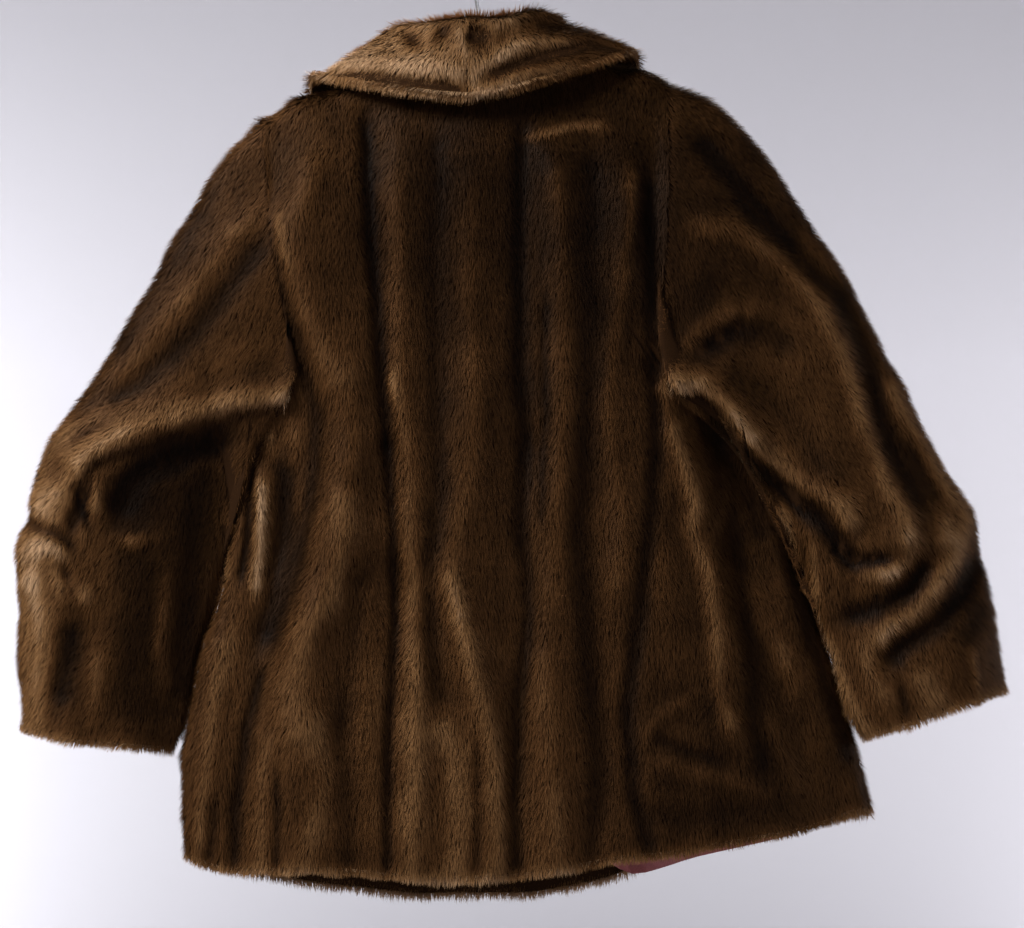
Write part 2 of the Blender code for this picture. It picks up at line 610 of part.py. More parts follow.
def collar_section(base, edge, roll, lean, side):
    """A closed outline round a section's line, in the upright plane through base and edge."""
    out = Vector((edge.x - base.x, edge.y - base.y, 0))
    foot = STAND_LIFT if edge.y < 0 else FRONT_STAND_LIFT
    line = section_line(out.length, edge.z - base.z, roll, foot)
    out.normalize()
    half = np.array(COLLAR_HALF_WALLS)[:, None] * MM
    heading = np.gradient(line, axis=0)
    heading /= np.linalg.norm(heading, axis=1, keepdims=True)
    normal = np.stack([-heading[:, 1], heading[:, 0]], 1)
    facing = -1 if edge.y < 0 else 1
    lifts = np.zeros(len(line))
    for k in range(FALL_STARTS, len(line)):
        middle = base + out * line[k, 0] + Vector((0, 0, line[k, 1]))
        needed = height_over_shoulder(middle.x, middle.z, side)
        if needed > abs(middle.y):
            lifts[k] = (needed - abs(middle.y)) * facing
    stand_end = 2
    leans = lean * np.interp(range(len(line)), (0, stand_end, FALL_STARTS, len(line) - 1),
                             (0, 1, 1, 0))
    ring = np.vstack([line + normal * half, (line - normal * half)[::-1]])
    leans = np.concatenate([leans, leans[::-1]])
    lifts = np.concatenate([lifts, lifts[::-1]])
    return [base + out * x + Vector((dx, dy, z))
            for (x, z), dx, dy in zip(ring, leans, lifts)]


def build_collar(side, look, collection):
    seam = neck_seam(side)
    table = np.array(COLLAR[side], float) * MM
    at = np.linspace(0, len(table) - 1, COLLAR_STATIONS)
    rows = np.stack([np.interp(at, range(len(table)), table[:, k]) for k in range(4)], 1)
    seam_points = along(seam, np.linspace(0, span(seam), COLLAR_STATIONS))
    sign = -1 if side == "left" else 1
    run = np.gradient(seam_points, axis=0)
    steepness = np.abs(run[:, 2]) / np.linalg.norm(run, axis=1)
    steepness *= 1 - np.linspace(0, 1, COLLAR_STATIONS) ** 3
    steepness[0] = 0
    rings = []
    for base, (x, y, z, roll), steep in zip(seam_points, rows, steepness):
        inset = Vector((-sign * STAND_INSET * steep, 0, 0))
        lean = -sign * STAND_LEAN * steep
        edge = Vector((x, y, z))
        rings.append(collar_section(Vector(base) + inset, edge, roll, lean, side))
    rings = np.array(rings)
    rings[0, :, 0] = CENTRE_BACK * MM + sign * SEAM_GAP / 2
    rings[-1, :, 0] = sign * FRONT_GAP
    count = rings.shape[1]
    faces = []
    for j in range(len(rings) - 1):
        for i in range(count):
            k = (i + 1) % count
            faces.append((j * count + i, j * count + k, (j + 1) * count + k,
                          (j + 1) * count + i))
    half = count // 2
    last = (len(rings) - 1) * count
    for i in range(half - 1):
        strip = (i, i + 1, count - 2 - i, count - 1 - i)
        faces.append(strip[::-1])
        faces.append(tuple(last + k for k in strip))
    mesh_object("collar_" + side, rings.reshape(-1, 3), faces, look, collection)


def build_lining(look, collection):
    """A strip of lining that lies on the inside of the right front and hangs below it."""
    low = smooth_curve(LINING_LOW)
    columns, rows = 15, 4
    lower = along(low, np.linspace(0, span(low), columns))
    lift = np.linspace(LINING_HEIGHT, 0, rows)[:, None]
    plan = np.stack([np.tile(lower[:, 0], (rows, 1)), lower[:, 1] + lift], -1)
    seams = [shoulder_line("right"), smooth_curve(SIDE_SEAM["right"])]
    depth = body_depth(plan, seams, [None, None], FRONT_FOLDS)[0]
    y = depth - FUR_WALL - LINING_GAP
    outer = np.stack([plan[..., 0], y, plan[..., 1]], -1)
    inner = outer - np.array([0, LINING_WALL, 0])
    panel_object("lining_hem", outer, inner, look, collection)


def rod(name, points, radius, look, collection):
    curve = bpy.data.curves.new(name, "CURVE")
    curve.dimensions = "3D"
    spline = curve.splines.new("POLY")
    spline.points.add(len(points) - 1)
    for point, place in zip(spline.points, points):
        point.co = (*place, 1)
    curve.bevel_depth = radius
    curve.bevel_resolution = 2
    curve.use_fill_caps = True
    curve.materials.append(look)
    made = bpy.data.objects.new(name, curve)
    collection.objects.link(made)


def build_hanger(wood, steel, collection):
    shoulders = smooth_curve(HANGER_SHOULDERS)
    bar = along(shoulders, np.linspace(0, span(shoulders), 19))
    rod("hanger_bar", [(x, 0, z) for x, z in bar], HANGER_ROD, wood, collection)
    stem = smooth_curve(HOOK_NECK)
    neck = along(stem, np.linspace(0, span(stem), 7))
    middle = HOOK_WIRE - HOOK_BEND
    turn = [math.radians(a) for a in range(225, -46, -14)]
    bend = [(HOOK_BEND * math.cos(a), middle + HOOK_BEND * math.sin(a)) for a in turn]
    rod("hanger_hook", [(x, 0, z) for x, z in [*neck, *bend]], HOOK_WIRE, steel, collection)


def main():
    clear_scene()
    collection = bpy.data.collections.new("faux_fur_coat")
    bpy.context.scene.collection.children.link(collection)
    fur = material("brown_fur", (0.095, 0.047, 0.018), 0.85)
    back = build_back(fur, collection)
    rows = ARMHOLE_ROWS
    for side, column in (("left", 0), ("right", -1)):
        front = build_front(side, fur, collection)
        back_edge = [grid[:rows, column] for grid in back]
        front_edge = [grid[:rows, 0] for grid in front]
        build_sleeve(side, back_edge, front_edge, fur, collection)
        build_collar(side, fur, collection)
    build_lining(material("pink_satin", (0.27, 0.075, 0.078), 0.45), collection)
    wood = material("varnished_wood", (0.33, 0.17, 0.07), 0.4)
    steel = material("steel_wire", (0.55, 0.55, 0.56), 0.25, 1.0)
    build_hanger(wood, steel, collection)


main()
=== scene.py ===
"""The looks of a hip-length faux fur coat that hangs from a wooden hanger, seen from its back.

Each fur solid of the frame is subdivided, smoothed at the underarms and moved by marks and bulges
that are listed one by one. It gives a backing of cloth, with its pile as blades of mesh. Nothing
is simulated.
"""

import math
from collections import namedtuple

import bmesh
import bpy
import numpy as np
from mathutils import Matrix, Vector
from mathutils.bvhtree import BVHTree


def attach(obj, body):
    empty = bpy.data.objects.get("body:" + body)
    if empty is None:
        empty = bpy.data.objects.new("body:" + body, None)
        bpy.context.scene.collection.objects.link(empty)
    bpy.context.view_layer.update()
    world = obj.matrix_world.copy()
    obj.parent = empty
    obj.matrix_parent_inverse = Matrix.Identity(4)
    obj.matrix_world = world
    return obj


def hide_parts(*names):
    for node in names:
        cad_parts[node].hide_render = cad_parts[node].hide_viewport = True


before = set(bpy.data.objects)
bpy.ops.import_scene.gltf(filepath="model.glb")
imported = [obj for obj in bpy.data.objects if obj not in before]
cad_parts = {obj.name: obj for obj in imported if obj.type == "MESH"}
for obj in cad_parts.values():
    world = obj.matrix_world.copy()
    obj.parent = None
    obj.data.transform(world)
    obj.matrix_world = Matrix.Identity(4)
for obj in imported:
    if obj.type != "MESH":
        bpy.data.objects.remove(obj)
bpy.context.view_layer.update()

MM = 0.001

# The photograph's scale on the coat, and the pixel that lies over the hook's rest
PIXEL = 0.95 * MM
HOOK_PIXEL = (478.0, -55.0)

# Forms
WELD = 0.02 * MM
JOIN_FACES, JOIN_SHAPES = math.radians(35), math.radians(50)   # triangles pair up within these
COLLAR_CREASE, PANEL_CREASE = math.radians(55), math.radians(30)  # sharper edges stay sharp
SLICES = 14                   # of a sleeve, to find its middle
RAY_START = 0.0002            # rays into a wall start this far inside its face
RAY_REACH = 0.1
ALIGNED = 0.8                 # the cosine from which two directions count as one
SEAM = 1.5 * MM               # a rim this near another piece is sewn to it and shows no pile
UNDER_COLLAR = 9.0 * MM       # and so does the collar's face, this near the panel under it
WALL = 9.0 * MM               # a ray through a rim runs further than this
RIM_WIDTHS = (5.4 * MM, 7.6 * MM)
SIDE_BLEND = 8 * MM           # over which a sleeve's back turns into its front
COLLAR_BLEND = 0.02           # and the collar's
PILE_LEVEL = 3                # how finely a form is divided to set out its pile
CLOTH_LEVEL = 1
FUR, LINING, SEWN = range(3)  # what a face of a form is
MIDDLE = np.array([0.03, -0.45])                      # of the coat, across and up
UNDERARMS = np.array([[-0.174, -0.412], [0.172, -0.405]])
UNDERARM_REACH = 75 * MM      # the bunched cloth is smoothed this far round them
SMOOTH_ROUNDS, SMOOTH_SHARE = 10, 0.6
MEETING_PULL, MEETING_REACH = 2.5 * MM, 0.008   # the fronts' edges are drawn together
END_FADE, END_SHARE = 0.012, 0.35   # a mark fades over this length, to this share at its ends

# Pile
BACKING_DEPTH = 4.2 * MM      # how far the backing's face lies under the fur solid's face
PILE_LENGTH, LENGTHS = 12.0 * MM, (0.75, 1.1)
PILE_WIDTH, WIDTHS = 0.85 * MM, (0.8, 1.2)
PILE_LIFT, LIFT_SPREAD, LIFT_WAVE = math.radians(31), math.radians(6), math.radians(5)
UPRIGHT = math.radians(75)    # the lift of pile whose nap runs into the surface
NAP_LIES = 0.35               # from this share of the nap along the surface the pile lies flat
TURN_BROAD, TURN_FINE, TURN_SPREAD = 0.20, 0.12, 0.12   # how far strands turn off the nap
ROLL_SPREAD = 0.3
SHORTEST = 0.45               # of its length, where a hem or a cuff cuts a strand
FRONT_COLLAR_LENGTH, BACK_COLLAR_LENGTH = 0.95, 0.8
EDGE_FRINGE, FRINGES = 6.0 * MM, (0.6, 1.2)   # how far the pile hangs past a hem or a cuff
FRONT_FRINGE, SCALLOP = 1.6, 0.6
TURN_IN = 14 * MM             # how much fur the fronts turn in at their hems
LIFTED = 1.5 * MM             # a seam that the marks raise further shows pile
EDGE_BAND, EDGE_BINS = 0.16, 80
FLARE, COLLAR_SPLAY = 0.35, 0.6   # how far the nap leans out with the skirt, and on the collar

# The pile's tone, from 0, the darkest, to 1, the palest tips: pelt shades plus painted light and
# shade
BASE_TONE, TONE_SPREAD = 0.39, 0.035
BROAD_TONE, FINE_TONE = 0.05, 0.04
PROUD_LIGHT_AND_SHADE, PROUD_HEIGHT = 0.10, 2.2 * MM   # painted highlight on what stands this far out, painted shade in what sinks as far in
# Painted light on the collar: its pile is paler, most of all left of the middle, where the light
# falls, and fades by the second number towards its right
COLLAR_TONE, COLLAR_LIGHT_FADE = 0.37, 0.28
COLLAR_FADES_FROM, COLLAR_FADES_OVER = 0.01, 0.06
# Painted light on lit pile tips within reach of a hem or a cuff; more on the fronts, whose hems
# lie in the back's shadow
FRONT_EDGE_LIGHT, EDGE_LIGHT, EDGE_LIGHT_REACH = 0.60, 0.38, 11 * MM
LIMB_LIGHT, LIMB_TURN = 0.26, 1.8   # painted rim light, where the surface turns away from the photograph's view
TROUGH_PAINTED_SHADE = 1.3            # painted shade: a trough's pile is painted this much darker than its mark

# Soft noises over the coat: the size of their spots in metres, and a seed
NOISE_WAVES = 10
TONE_NOISES = ((0.035, 5), (0.013, 6))
TURN_NOISES = ((0.04, 11), (0.011, 13))
LIFT_NOISE, SCALLOP_NOISE = (0.02, 12), (0.03, 14)

Panel = namedtuple("Panel", "node outward strands pieces flat area")

PANELS = [
    Panel("back", (0, -1, 0), 300000, 2, (0.74, 0.80), 0.45),
    Panel("front_left", (0, 1, 0), 100000, 1, (0.36, 0.80), 0.20),
    Panel("front_right", (0, 1, 0), 110000, 1, (0.40, 0.80), 0.22),
    Panel("sleeve_left", None, 150000, 1, (0.44, 0.62), 0.22),
    Panel("sleeve_right", None, 160000, 1, (0.44, 0.64), 0.24),
    Panel("collar_left", None, 40000, 1, (0.30, 0.22), 0.033),
    Panel("collar_right", None, 40000, 1, (0.30, 0.22), 0.033),
]

Mark = namedtuple("Mark", "path width height tone under", defaults=[0])


def as_marks(rows):
    return [Mark(*row) for row in rows]


# Ridges and troughs that show on the back of the coat: the photograph's pixels along each, its
# half width in pixels, its height in mm and how much paler its pile is painted, as painted
# highlight on a ridge and painted shade in a trough or under a lip. A lip falls off more steeply
# on its path's right, within the pixels of under.
BACK_MARKS = as_marks([
    ([(322, 150), (304, 190), (284, 225), (292, 270), (312, 320), (342, 390)], 17, 3, 0.13),
    ([(350, 345), (355, 430), (350, 470)], 18, 3, 0.05),
    ([(344, 480), (352, 525), (335, 590), (305, 625), (288, 680), (300, 740)], 19, 3, 0.14),
    ([(278, 205), (283, 238), (290, 262)], 7, 1, 0.16),
    ([(318, 700), (330, 760), (318, 820), (300, 870)], 15, 2, 0.10),
    ([(264, 205), (282, 290), (300, 345), (318, 410), (316, 470), (300, 560), (274, 640)],
     9, -3, -0.17),
    ([(266, 660), (248, 720), (238, 800), (234, 865)], 7, -3, -0.17),
    ([(366, 110), (371, 200), (378, 300), (384, 380), (390, 450)], 8, -4, -0.20),
    ([(388, 430), (394, 530), (397, 620), (390, 740), (388, 870)], 6, -3.5, -0.18),
    ([(366, 560), (352, 640), (345, 720), (352, 800), (350, 870)], 13, -2.5, -0.13),
    ([(388, 115), (397, 220), (400, 330), (398, 390)], 11, 2, 0.08),
    ([(392, 362), (394, 392)], 4, 1, 0.26),
    ([(398, 375), (412, 450), (412, 520), (414, 600), (418, 660), (414, 750), (412, 870)],
     12, 3, 0.13),
    ([(437, 130), (436, 260), (438, 380), (440, 480), (432, 560), (433, 640), (445, 700)],
     11, -2.5, -0.13),
    ([(472, 170), (472, 300), (478, 430), (470, 490), (455, 540), (449, 580), (461, 620)],
     14, 2.5, 0.10),
    ([(452, 572), (460, 610), (467, 652)], 9, 1, 0.10),
    ([(452, 560), (464, 620), (474, 665), (489, 700), (500, 760), (503, 870)], 12, 3, 0.12),
    ([(438, 710), (455, 745), (460, 800), (455, 870)], 13, 2.5, 0.12),
    ([(478, 730), (480, 800), (477, 870)], 6, -2.5, -0.12),
    ([(522, 120), (519, 250), (520, 350), (526, 430), (521, 520), (530, 600), (520, 690),
      (515, 770), (517, 870)], 9, -3.5, -0.16),
    ([(546, 290), (545, 420), (540, 520)], 5, -1.5, -0.10),
    ([(556, 160), (560, 250), (562, 330), (565, 420), (558, 510), (552, 600)], 14, 2.5, 0.09),
    ([(540, 640), (545, 720), (552, 800), (560, 870)], 15, 2.5, 0.10),
    ([(590, 150), (592, 300), (588, 420), (582, 520), (590, 640), (600, 760), (590, 870)],
     12, -2, -0.12),
    ([(631, 165), (627, 240), (618, 310), (608, 390), (612, 450), (622, 510), (615, 590)],
     11, 2.5, 0.08),
    ([(631, 170), (633, 205), (628, 245)], 5, 0.5, 0.14),
    ([(648, 170), (650, 260), (652, 340), (656, 420), (652, 500), (640, 600), (626, 700),
      (632, 780), (650, 850)], 9, -3.5, -0.17),
    ([(664, 270), (663, 310), (661, 345)], 4, 2, 0.22),
    ([(668, 412), (678, 440), (689, 475), (695, 500), (690, 522), (694, 540), (707, 565),
      (714, 620), (718, 680), (734, 730)], 11, 4, 0.24),
    ([(664, 370), (661, 384), (668, 397)], 8, 4, 0.38),
    ([(700, 402), (722, 440), (748, 480), (766, 540)], 15, -4, -0.16),
    ([(712, 420), (722, 480), (734, 540), (744, 620), (752, 700), (768, 770)],
     13, -2.5, -0.10),
    ([(720, 452), (727, 490), (722, 520)], 7, 1, 0.08),
    ([(751, 576), (760, 611), (780, 645), (792, 675), (790, 700)], 11, 2.5, 0.15),
    ([(768, 700), (780, 740), (800, 790)], 12, 2, 0.08),
    ([(640, 735), (660, 706), (690, 690)], 8, 2, 0.13),
    ([(652, 752), (690, 765), (730, 772), (762, 782)], 9, 2, 0.11),
    ([(655, 730), (690, 745), (720, 752)], 6, -2, -0.12),
    ([(776, 490), (790, 560), (812, 640), (835, 710), (850, 760)], 9, -3, -0.17),
    ([(238, 425), (234, 480), (226, 530), (221, 580)], 9, 4, 0.22),
    ([(266, 420), (274, 440), (280, 436)], 9, 2, 0.16),
    ([(262, 470), (262, 540), (257, 592)], 9, 4, 0.42),
    ([(251, 440), (250, 500), (247, 545), (240, 575)], 5, -4, -0.26),
    ([(284, 450), (286, 520), (276, 590), (262, 640)], 12, -3, -0.24),
    ([(270, 118), (284, 110), (302, 104)], 9, 0, 0.16),
    ([(292, 415), (296, 440), (286, 470)], 9, 2, 0.10),
    ([(230, 625), (216, 690), (209, 760), (200, 850)], 12, 2.5, 0.20),
    ([(268, 720), (262, 790), (258, 870)], 10, 2, 0.11),
    ([(278, 760), (280, 820), (276, 870)], 5, -2, -0.12),
    ([(216, 790), (212, 830), (210, 868)], 6, -2, -0.16),
    ([(640, 800), (680, 812), (720, 805), (790, 800)], 12, -1.5, -0.08),
    ([(520, 135), (545, 131), (575, 122), (608, 122)], 5, 1, 0.34),
    ([(430, 149), (480, 149)], 2, 0, 0.08),
])
FRONT_MARKS = as_marks([
    ([(300, 240), (290, 400), (282, 560), (262, 700), (250, 880)], 16, 3, 0.12),
    ([(330, 250), (322, 420), (326, 600), (310, 880)], 11, -3, -0.16),
    ([(372, 330), (364, 500), (372, 660), (366, 890)], 17, 3, 0.11),
    ([(398, 360), (402, 520), (396, 700), (404, 890)], 9, -3, -0.16),
    ([(436, 310), (430, 470), (438, 640), (432, 890)], 15, 2.5, 0.10),
    ([(464, 300), (460, 480), (463, 700), (462, 890)], 6, -2, -0.12),
    ([(236, 560), (226, 680), (216, 870)], 12, 2.5, 0.12),
    ([(496, 300), (500, 480), (494, 700), (498, 890)], 6, -2, -0.12),
    ([(532, 300), (540, 470), (532, 650), (544, 890)], 15, 2.5, 0.10),
    ([(562, 330), (556, 500), (568, 700), (566, 890)], 9, -3.5, -0.16),
    ([(600, 260), (594, 430), (606, 600), (612, 880)], 16, 3, 0.12),
    ([(634, 300), (638, 470), (650, 640), (660, 870)], 10, -3, -0.16),
    ([(684, 440), (706, 580), (716, 700), (728, 850)], 14, 3, 0.13),
    ([(744, 520), (766, 640), (780, 830)], 10, -2.5, -0.14),
    ([(786, 600), (806, 700), (826, 800)], 11, 2, 0.11),
])
COLLAR_MARKS = as_marks([
    ([(318, 60), (360, 60), (400, 64), (444, 69), (470, 76)], 10, 2.5, 0.12),
    ([(312, 80), (368, 77), (412, 83), (446, 88), (466, 94)], 6, -4, -0.28),
    ([(330, 93), (416, 96), (456, 104), (473, 100), (532, 73), (591, 64)], 7, 2, 0.12),
    ([(488, 64), (515, 47), (540, 38), (575, 40)], 8, 2.5, 0.18),
    ([(486, 80), (500, 71), (530, 60), (560, 52), (591, 45), (622, 50)], 6, -4, -0.26),
    ([(530, 26), (560, 24), (590, 32)], 10, -2.5, -0.20),
    ([(500, 22), (511, 18), (520, 14)], 8, 3, 0.18),
    ([(409, 31), (414, 38), (420, 45)], 7, -5, -0.42),
    ([(449, 24), (443, 33), (438, 40)], 7, -5, -0.34),
    ([(476, 24), (478, 36), (486, 47)], 11, -7, -0.44),
    ([(492, 34), (500, 38), (508, 32)], 7, -3, -0.22),
    ([(458, 22), (462, 34), (466, 52)], 6, 2, 0.10),
    ([(469, 60), (468, 80), (470, 104)], 3, -1, -0.05),
])
SLEEVE_MARKS = {
    "sleeve_left": as_marks([
        ([(80, 474), (96, 452), (122, 441), (152, 431), (184, 420), (214, 409), (240, 402),
          (270, 397), (302, 400)], 24, 9, 0.0, 5),
        ([(78, 470), (92, 448), (117, 432), (150, 416), (184, 410), (214, 404), (250, 398),
          (300, 396)], 19, 0, 0.25, 11),
        ([(280, 400), (292, 394), (300, 386)], 10, 2, 0.20),
        ([(58, 444), (76, 424), (108, 408), (140, 396)], 9, 2, 0.14),
        ([(76, 438), (92, 426), (112, 418)], 4, -1.5, -0.12),
        ([(290, 345), (240, 352), (195, 376), (150, 402), (110, 425)], 15, 1.5, 0.07),
        ([(282, 340), (262, 366), (266, 388)], 16, 0, -0.08),
        ([(268, 235), (236, 280), (196, 330), (150, 372), (110, 402)], 12, -2.5, -0.14),
        ([(262, 205), (232, 235), (196, 280), (160, 325), (120, 376)], 12, 2, 0.10),
        ([(226, 226), (238, 224), (248, 230)], 6, 1, 0.12),
        ([(210, 200), (170, 260), (140, 310), (110, 360)], 12, -1.5, -0.10),
        ([(234, 430), (184, 452), (150, 466), (132, 484), (120, 512)], 15, -6, -0.28),
        ([(82, 476), (86, 500), (94, 526)], 4, -2, -0.22),
        ([(46, 470), (40, 500), (48, 512)], 15, 2, 0.20),
        ([(150, 480), (146, 540), (140, 640), (135, 720)], 24, -2, -0.13),
        ([(205, 460), (200, 560), (190, 640), (185, 700)], 16, -2, -0.15),
        ([(172, 560), (170, 620), (165, 690)], 9, 1.5, 0.10),
        ([(70, 480), (52, 505), (38, 540), (30, 590)], 18, 3.5, 0.20),
        ([(92, 480), (80, 510), (72, 530)], 7, -4, -0.24),
        ([(102, 474), (100, 496), (108, 512)], 7, 3, 0.22),
        ([(26, 516), (44, 522), (62, 530), (84, 548)], 7, -4, -0.26),
        ([(30, 546), (52, 542), (78, 548)], 12, 4, 0.26),
        ([(54, 560), (64, 580), (66, 592)], 7, 2, 0.16),
        ([(82, 578), (90, 590), (94, 600)], 11, 4, 0.24),
        ([(122, 532), (140, 536), (156, 530)], 8, 3, 0.32),
        ([(68, 560), (72, 574)], 5, -3, -0.22),
        ([(76, 612), (74, 650), (62, 700)], 13, -4, -0.28),
        ([(28, 560), (38, 600), (40, 660), (34, 726)], 17, 3, 0.30),
        ([(104, 640), (100, 690), (96, 735)], 10, 2, 0.10),
        ([(168, 590), (164, 620), (162, 650)], 6, 1, 0.12),
    ]),
    "sleeve_right": as_marks([
        ([(662, 384), (680, 388), (700, 384), (722, 408), (744, 438), (764, 458), (802, 487),
          (832, 506), (848, 534)], 24, 9, 0.0, 5),
        ([(668, 384), (684, 386), (698, 380), (718, 400), (740, 428), (754, 446)],
         12, 0, 0.34, 8),
        ([(754, 448), (780, 466), (806, 484)], 7, 0, 0.14, 6),
        ([(822, 494), (838, 506), (848, 530)], 15, 1, 0.26, 9),
        ([(666, 386), (674, 376), (684, 374)], 15, 5, 0.24),
        ([(704, 402), (722, 426), (746, 458), (776, 484), (812, 512), (832, 534), (842, 556)],
         9, -6, -0.28),
        ([(680, 350), (692, 330), (706, 318), (730, 308), (757, 305)], 10, 2.5, 0.16),
        ([(700, 352), (728, 330), (760, 326), (790, 345)], 13, -2, -0.13),
        ([(715, 375), (760, 385), (800, 430), (826, 476)], 15, -1, -0.07),
        ([(722, 402), (744, 432), (770, 440), (790, 462)], 13, 1, 0.08),
        ([(740, 300), (735, 320), (700, 345), (685, 352)], 8, -2, -0.10),
        ([(690, 222), (735, 226), (785, 262), (816, 300), (832, 332), (842, 359), (854, 397),
          (866, 440), (882, 480), (900, 508), (908, 530)], 12, 4, 0.20),
        ([(690, 130), (740, 190), (800, 262), (838, 296), (860, 340), (876, 410), (896, 462),
          (922, 505)], 12, -4, -0.20),
        ([(712, 260), (700, 300), (680, 340)], 14, 0, -0.08),
        ([(880, 372), (895, 397), (927, 450), (945, 482), (960, 505), (965, 530)],
         10, 3, 0.22),
        ([(905, 440), (925, 480), (938, 500)], 7, -2, -0.12),
        ([(778, 496), (786, 536), (797, 573), (813, 617), (828, 650), (845, 690), (862, 732)],
         8, 3.5, 0.30),
        ([(806, 530), (812, 564), (816, 605)], 6, 3, 0.22),
        ([(797, 536), (804, 575), (814, 606)], 4, -2, -0.18),
        ([(824, 540), (846, 556), (876, 554), (888, 550)], 8, -5, -0.26),
        ([(864, 568), (884, 568), (902, 560)], 8, 4.5, 0.42),
        ([(892, 524), (902, 532), (908, 542)], 11, 3.5, 0.24),
        ([(940, 505), (940, 526), (936, 545)], 10, 3, 0.26),
        ([(956, 520), (952, 555), (928, 586), (905, 610), (884, 625), (866, 642)],
         12, 5, 0.30),
        ([(926, 552), (903, 586), (866, 604), (836, 612)], 11, -5, -0.28),
        ([(976, 548), (962, 584), (934, 618), (896, 642), (882, 662)], 12, -5, -0.28),
        ([(975, 590), (968, 620), (950, 640)], 14, -2, -0.16),
        ([(966, 640), (970, 664), (974, 690)], 5, 1.5, 0.16),
        ([(914, 660), (922, 680), (938, 704)], 15, 3, 0.26),
        ([(894, 672), (900, 700), (902, 716)], 5, -2, -0.16),
        ([(856, 645), (868, 668), (882, 700)], 10, 2, 0.14),
    ]),
}
SLEEVE_FRONT_MARKS = {
    "sleeve_left": as_marks([
        ([(252, 205), (206, 280), (150, 360), (106, 430)], 16, 3, 0.12),
        ([(272, 270), (226, 330), (176, 390), (130, 450)], 11, -3, -0.16),
        ([(286, 360), (220, 400), (160, 440), (96, 470)], 14, 3, 0.12),
        ([(210, 450), (160, 476), (110, 520)], 9, -3, -0.17),
        ([(150, 520), (142, 610), (150, 720)], 14, 2.5, 0.11),
        ([(96, 540), (84, 620), (90, 720)], 10, -2.5, -0.14),
        ([(50, 540), (46, 630), (52, 720)], 13, 2.5, 0.12),
    ]),
    "sleeve_right": as_marks([
        ([(700, 170), (762, 250), (820, 340), (862, 430)], 16, 3, 0.12),
        ([(694, 260), (750, 330), (806, 410), (850, 480)], 11, -3, -0.16),
        ([(690, 350), (746, 400), (806, 470), (860, 520)], 14, 3, 0.12),
        ([(760, 470), (810, 530), (860, 570), (920, 570)], 9, -3, -0.17),
        ([(836, 610), (850, 660), (880, 725)], 13, 2.5, 0.11),
        ([(896, 600), (910, 650), (926, 710)], 9, -2.5, -0.14),
        ([(950, 560), (958, 630), (966, 690)], 13, 2.5, 0.12),
    ]),
}

# Broad patches of paler or darker pile on the back: middle and half size in pixels, and tone.
# Mostly painted light and shade: painted shade under the collar, under the left sleeve's lip
# and low on the right, paler where light falls on the lower back and on rounded folds, with
# some of the pelt's own broad shades.
Patch = namedtuple("Patch", "px py wide high tone")
SHADE_AND_PELT_PATCHES = [
    Patch(470, 190, 130, 130, -0.18),
    Patch(620, 180, 90, 160, -0.12),
    Patch(560, 400, 120, 200, -0.06),
    Patch(740, 180, 90, 130, -0.15),
    Patch(720, 760, 110, 120, -0.14),
    Patch(330, 600, 100, 220, 0.05),
    Patch(450, 770, 110, 140, 0.13),
    Patch(168, 500, 50, 62, -0.17),
    Patch(160, 640, 60, 90, -0.06),
    Patch(50, 520, 50, 130, 0.14),
    Patch(240, 570, 30, 90, 0.06),
    Patch(900, 640, 90, 90, 0.05),
    Patch(790, 420, 70, 60, 0.03),
    Patch(240, 130, 50, 40, 0.05),
]

# Where a crumple stands out of the coat's outline or sinks into it: middle and reach in
# pixels, how far out and how far up in mm, and the panels whose names start so
Bulge = namedtuple("Bulge", "px py reach out up nodes", defaults=[0, ("",)])
BODY = ("back", "front")
BULGES = [Bulge(*row) for row in [
    (26, 516, 11, -4), (16, 548, 20, 4.5), (48, 440, 22, 3),
    (16, 612, 12, -2), (18, 660, 24, 3), (24, 728, 12, 4),
    (96, 366, 24, 1), (130, 320, 40, 3), (172, 244, 26, 4),
    (210, 170, 20, 1.5), (262, 122, 14, 4),
    (296, 98, 20, 9, 2), (312, 80, 12, 6), (350, 48, 30, 2.5),
    (400, 20, 14, 2), (600, 34, 34, 3), (641, 66, 12, 6),
    (530, 8, 18, 2), (632, 52, 18, 4), (655, 78, 16, 5),
    (770, 165, 34, 3), (845, 270, 30, 2.5), (893, 352, 10, -3),
    (908, 384, 20, 2), (950, 466, 14, -1.5), (974, 508, 20, 4),
    (982, 552, 9, -2), (996, 610, 34, 3), (186, 800, 50, 4),
    (868, 780, 40, 4), (182, 752, 14, 4),
    (206, 655, 38, 4.5, 0, BODY), (190, 735, 30, 2.5, 0, BODY),
    (812, 600, 26, 3, 0, BODY), (842, 680, 38, 7.5, 0, BODY),
    (866, 745, 26, 4, 0, BODY), (824, 640, 26, 3.5, 0, BODY),
    (850, 720, 22, 3, 0, BODY), (212, 640, 24, 2.5, 0, BODY),
    (640, 868, 44, 0, 5, ("back",)), (710, 858, 44, 0, 4, ("back",)),
    (780, 842, 44, 0, 2, ("back",)), (862, 815, 30, 0, 5, ("back",)),
    (866, 812, 20, 0, 4, ("front",)), (188, 862, 18, 0, 5, BODY),
    (175, 720, 46, -10, -7, ("sleeve_left",)),
    (862, 720, 40, -7, -6, ("sleeve_right",)),
    (330, 876, 50, 0, -5, ("front",)), (420, 884, 55, 0, -6, ("front",)),
    (530, 886, 55, 0, -7, ("front",)), (600, 882, 40, 0, -3, ("front",)),
]]


def at(px, py):
    """The place on the coat, in metres, that a pixel of the photograph shows."""
    return ((px - HOOK_PIXEL[0]) * PIXEL, -(py - HOOK_PIXEL[1]) * PIXEL)


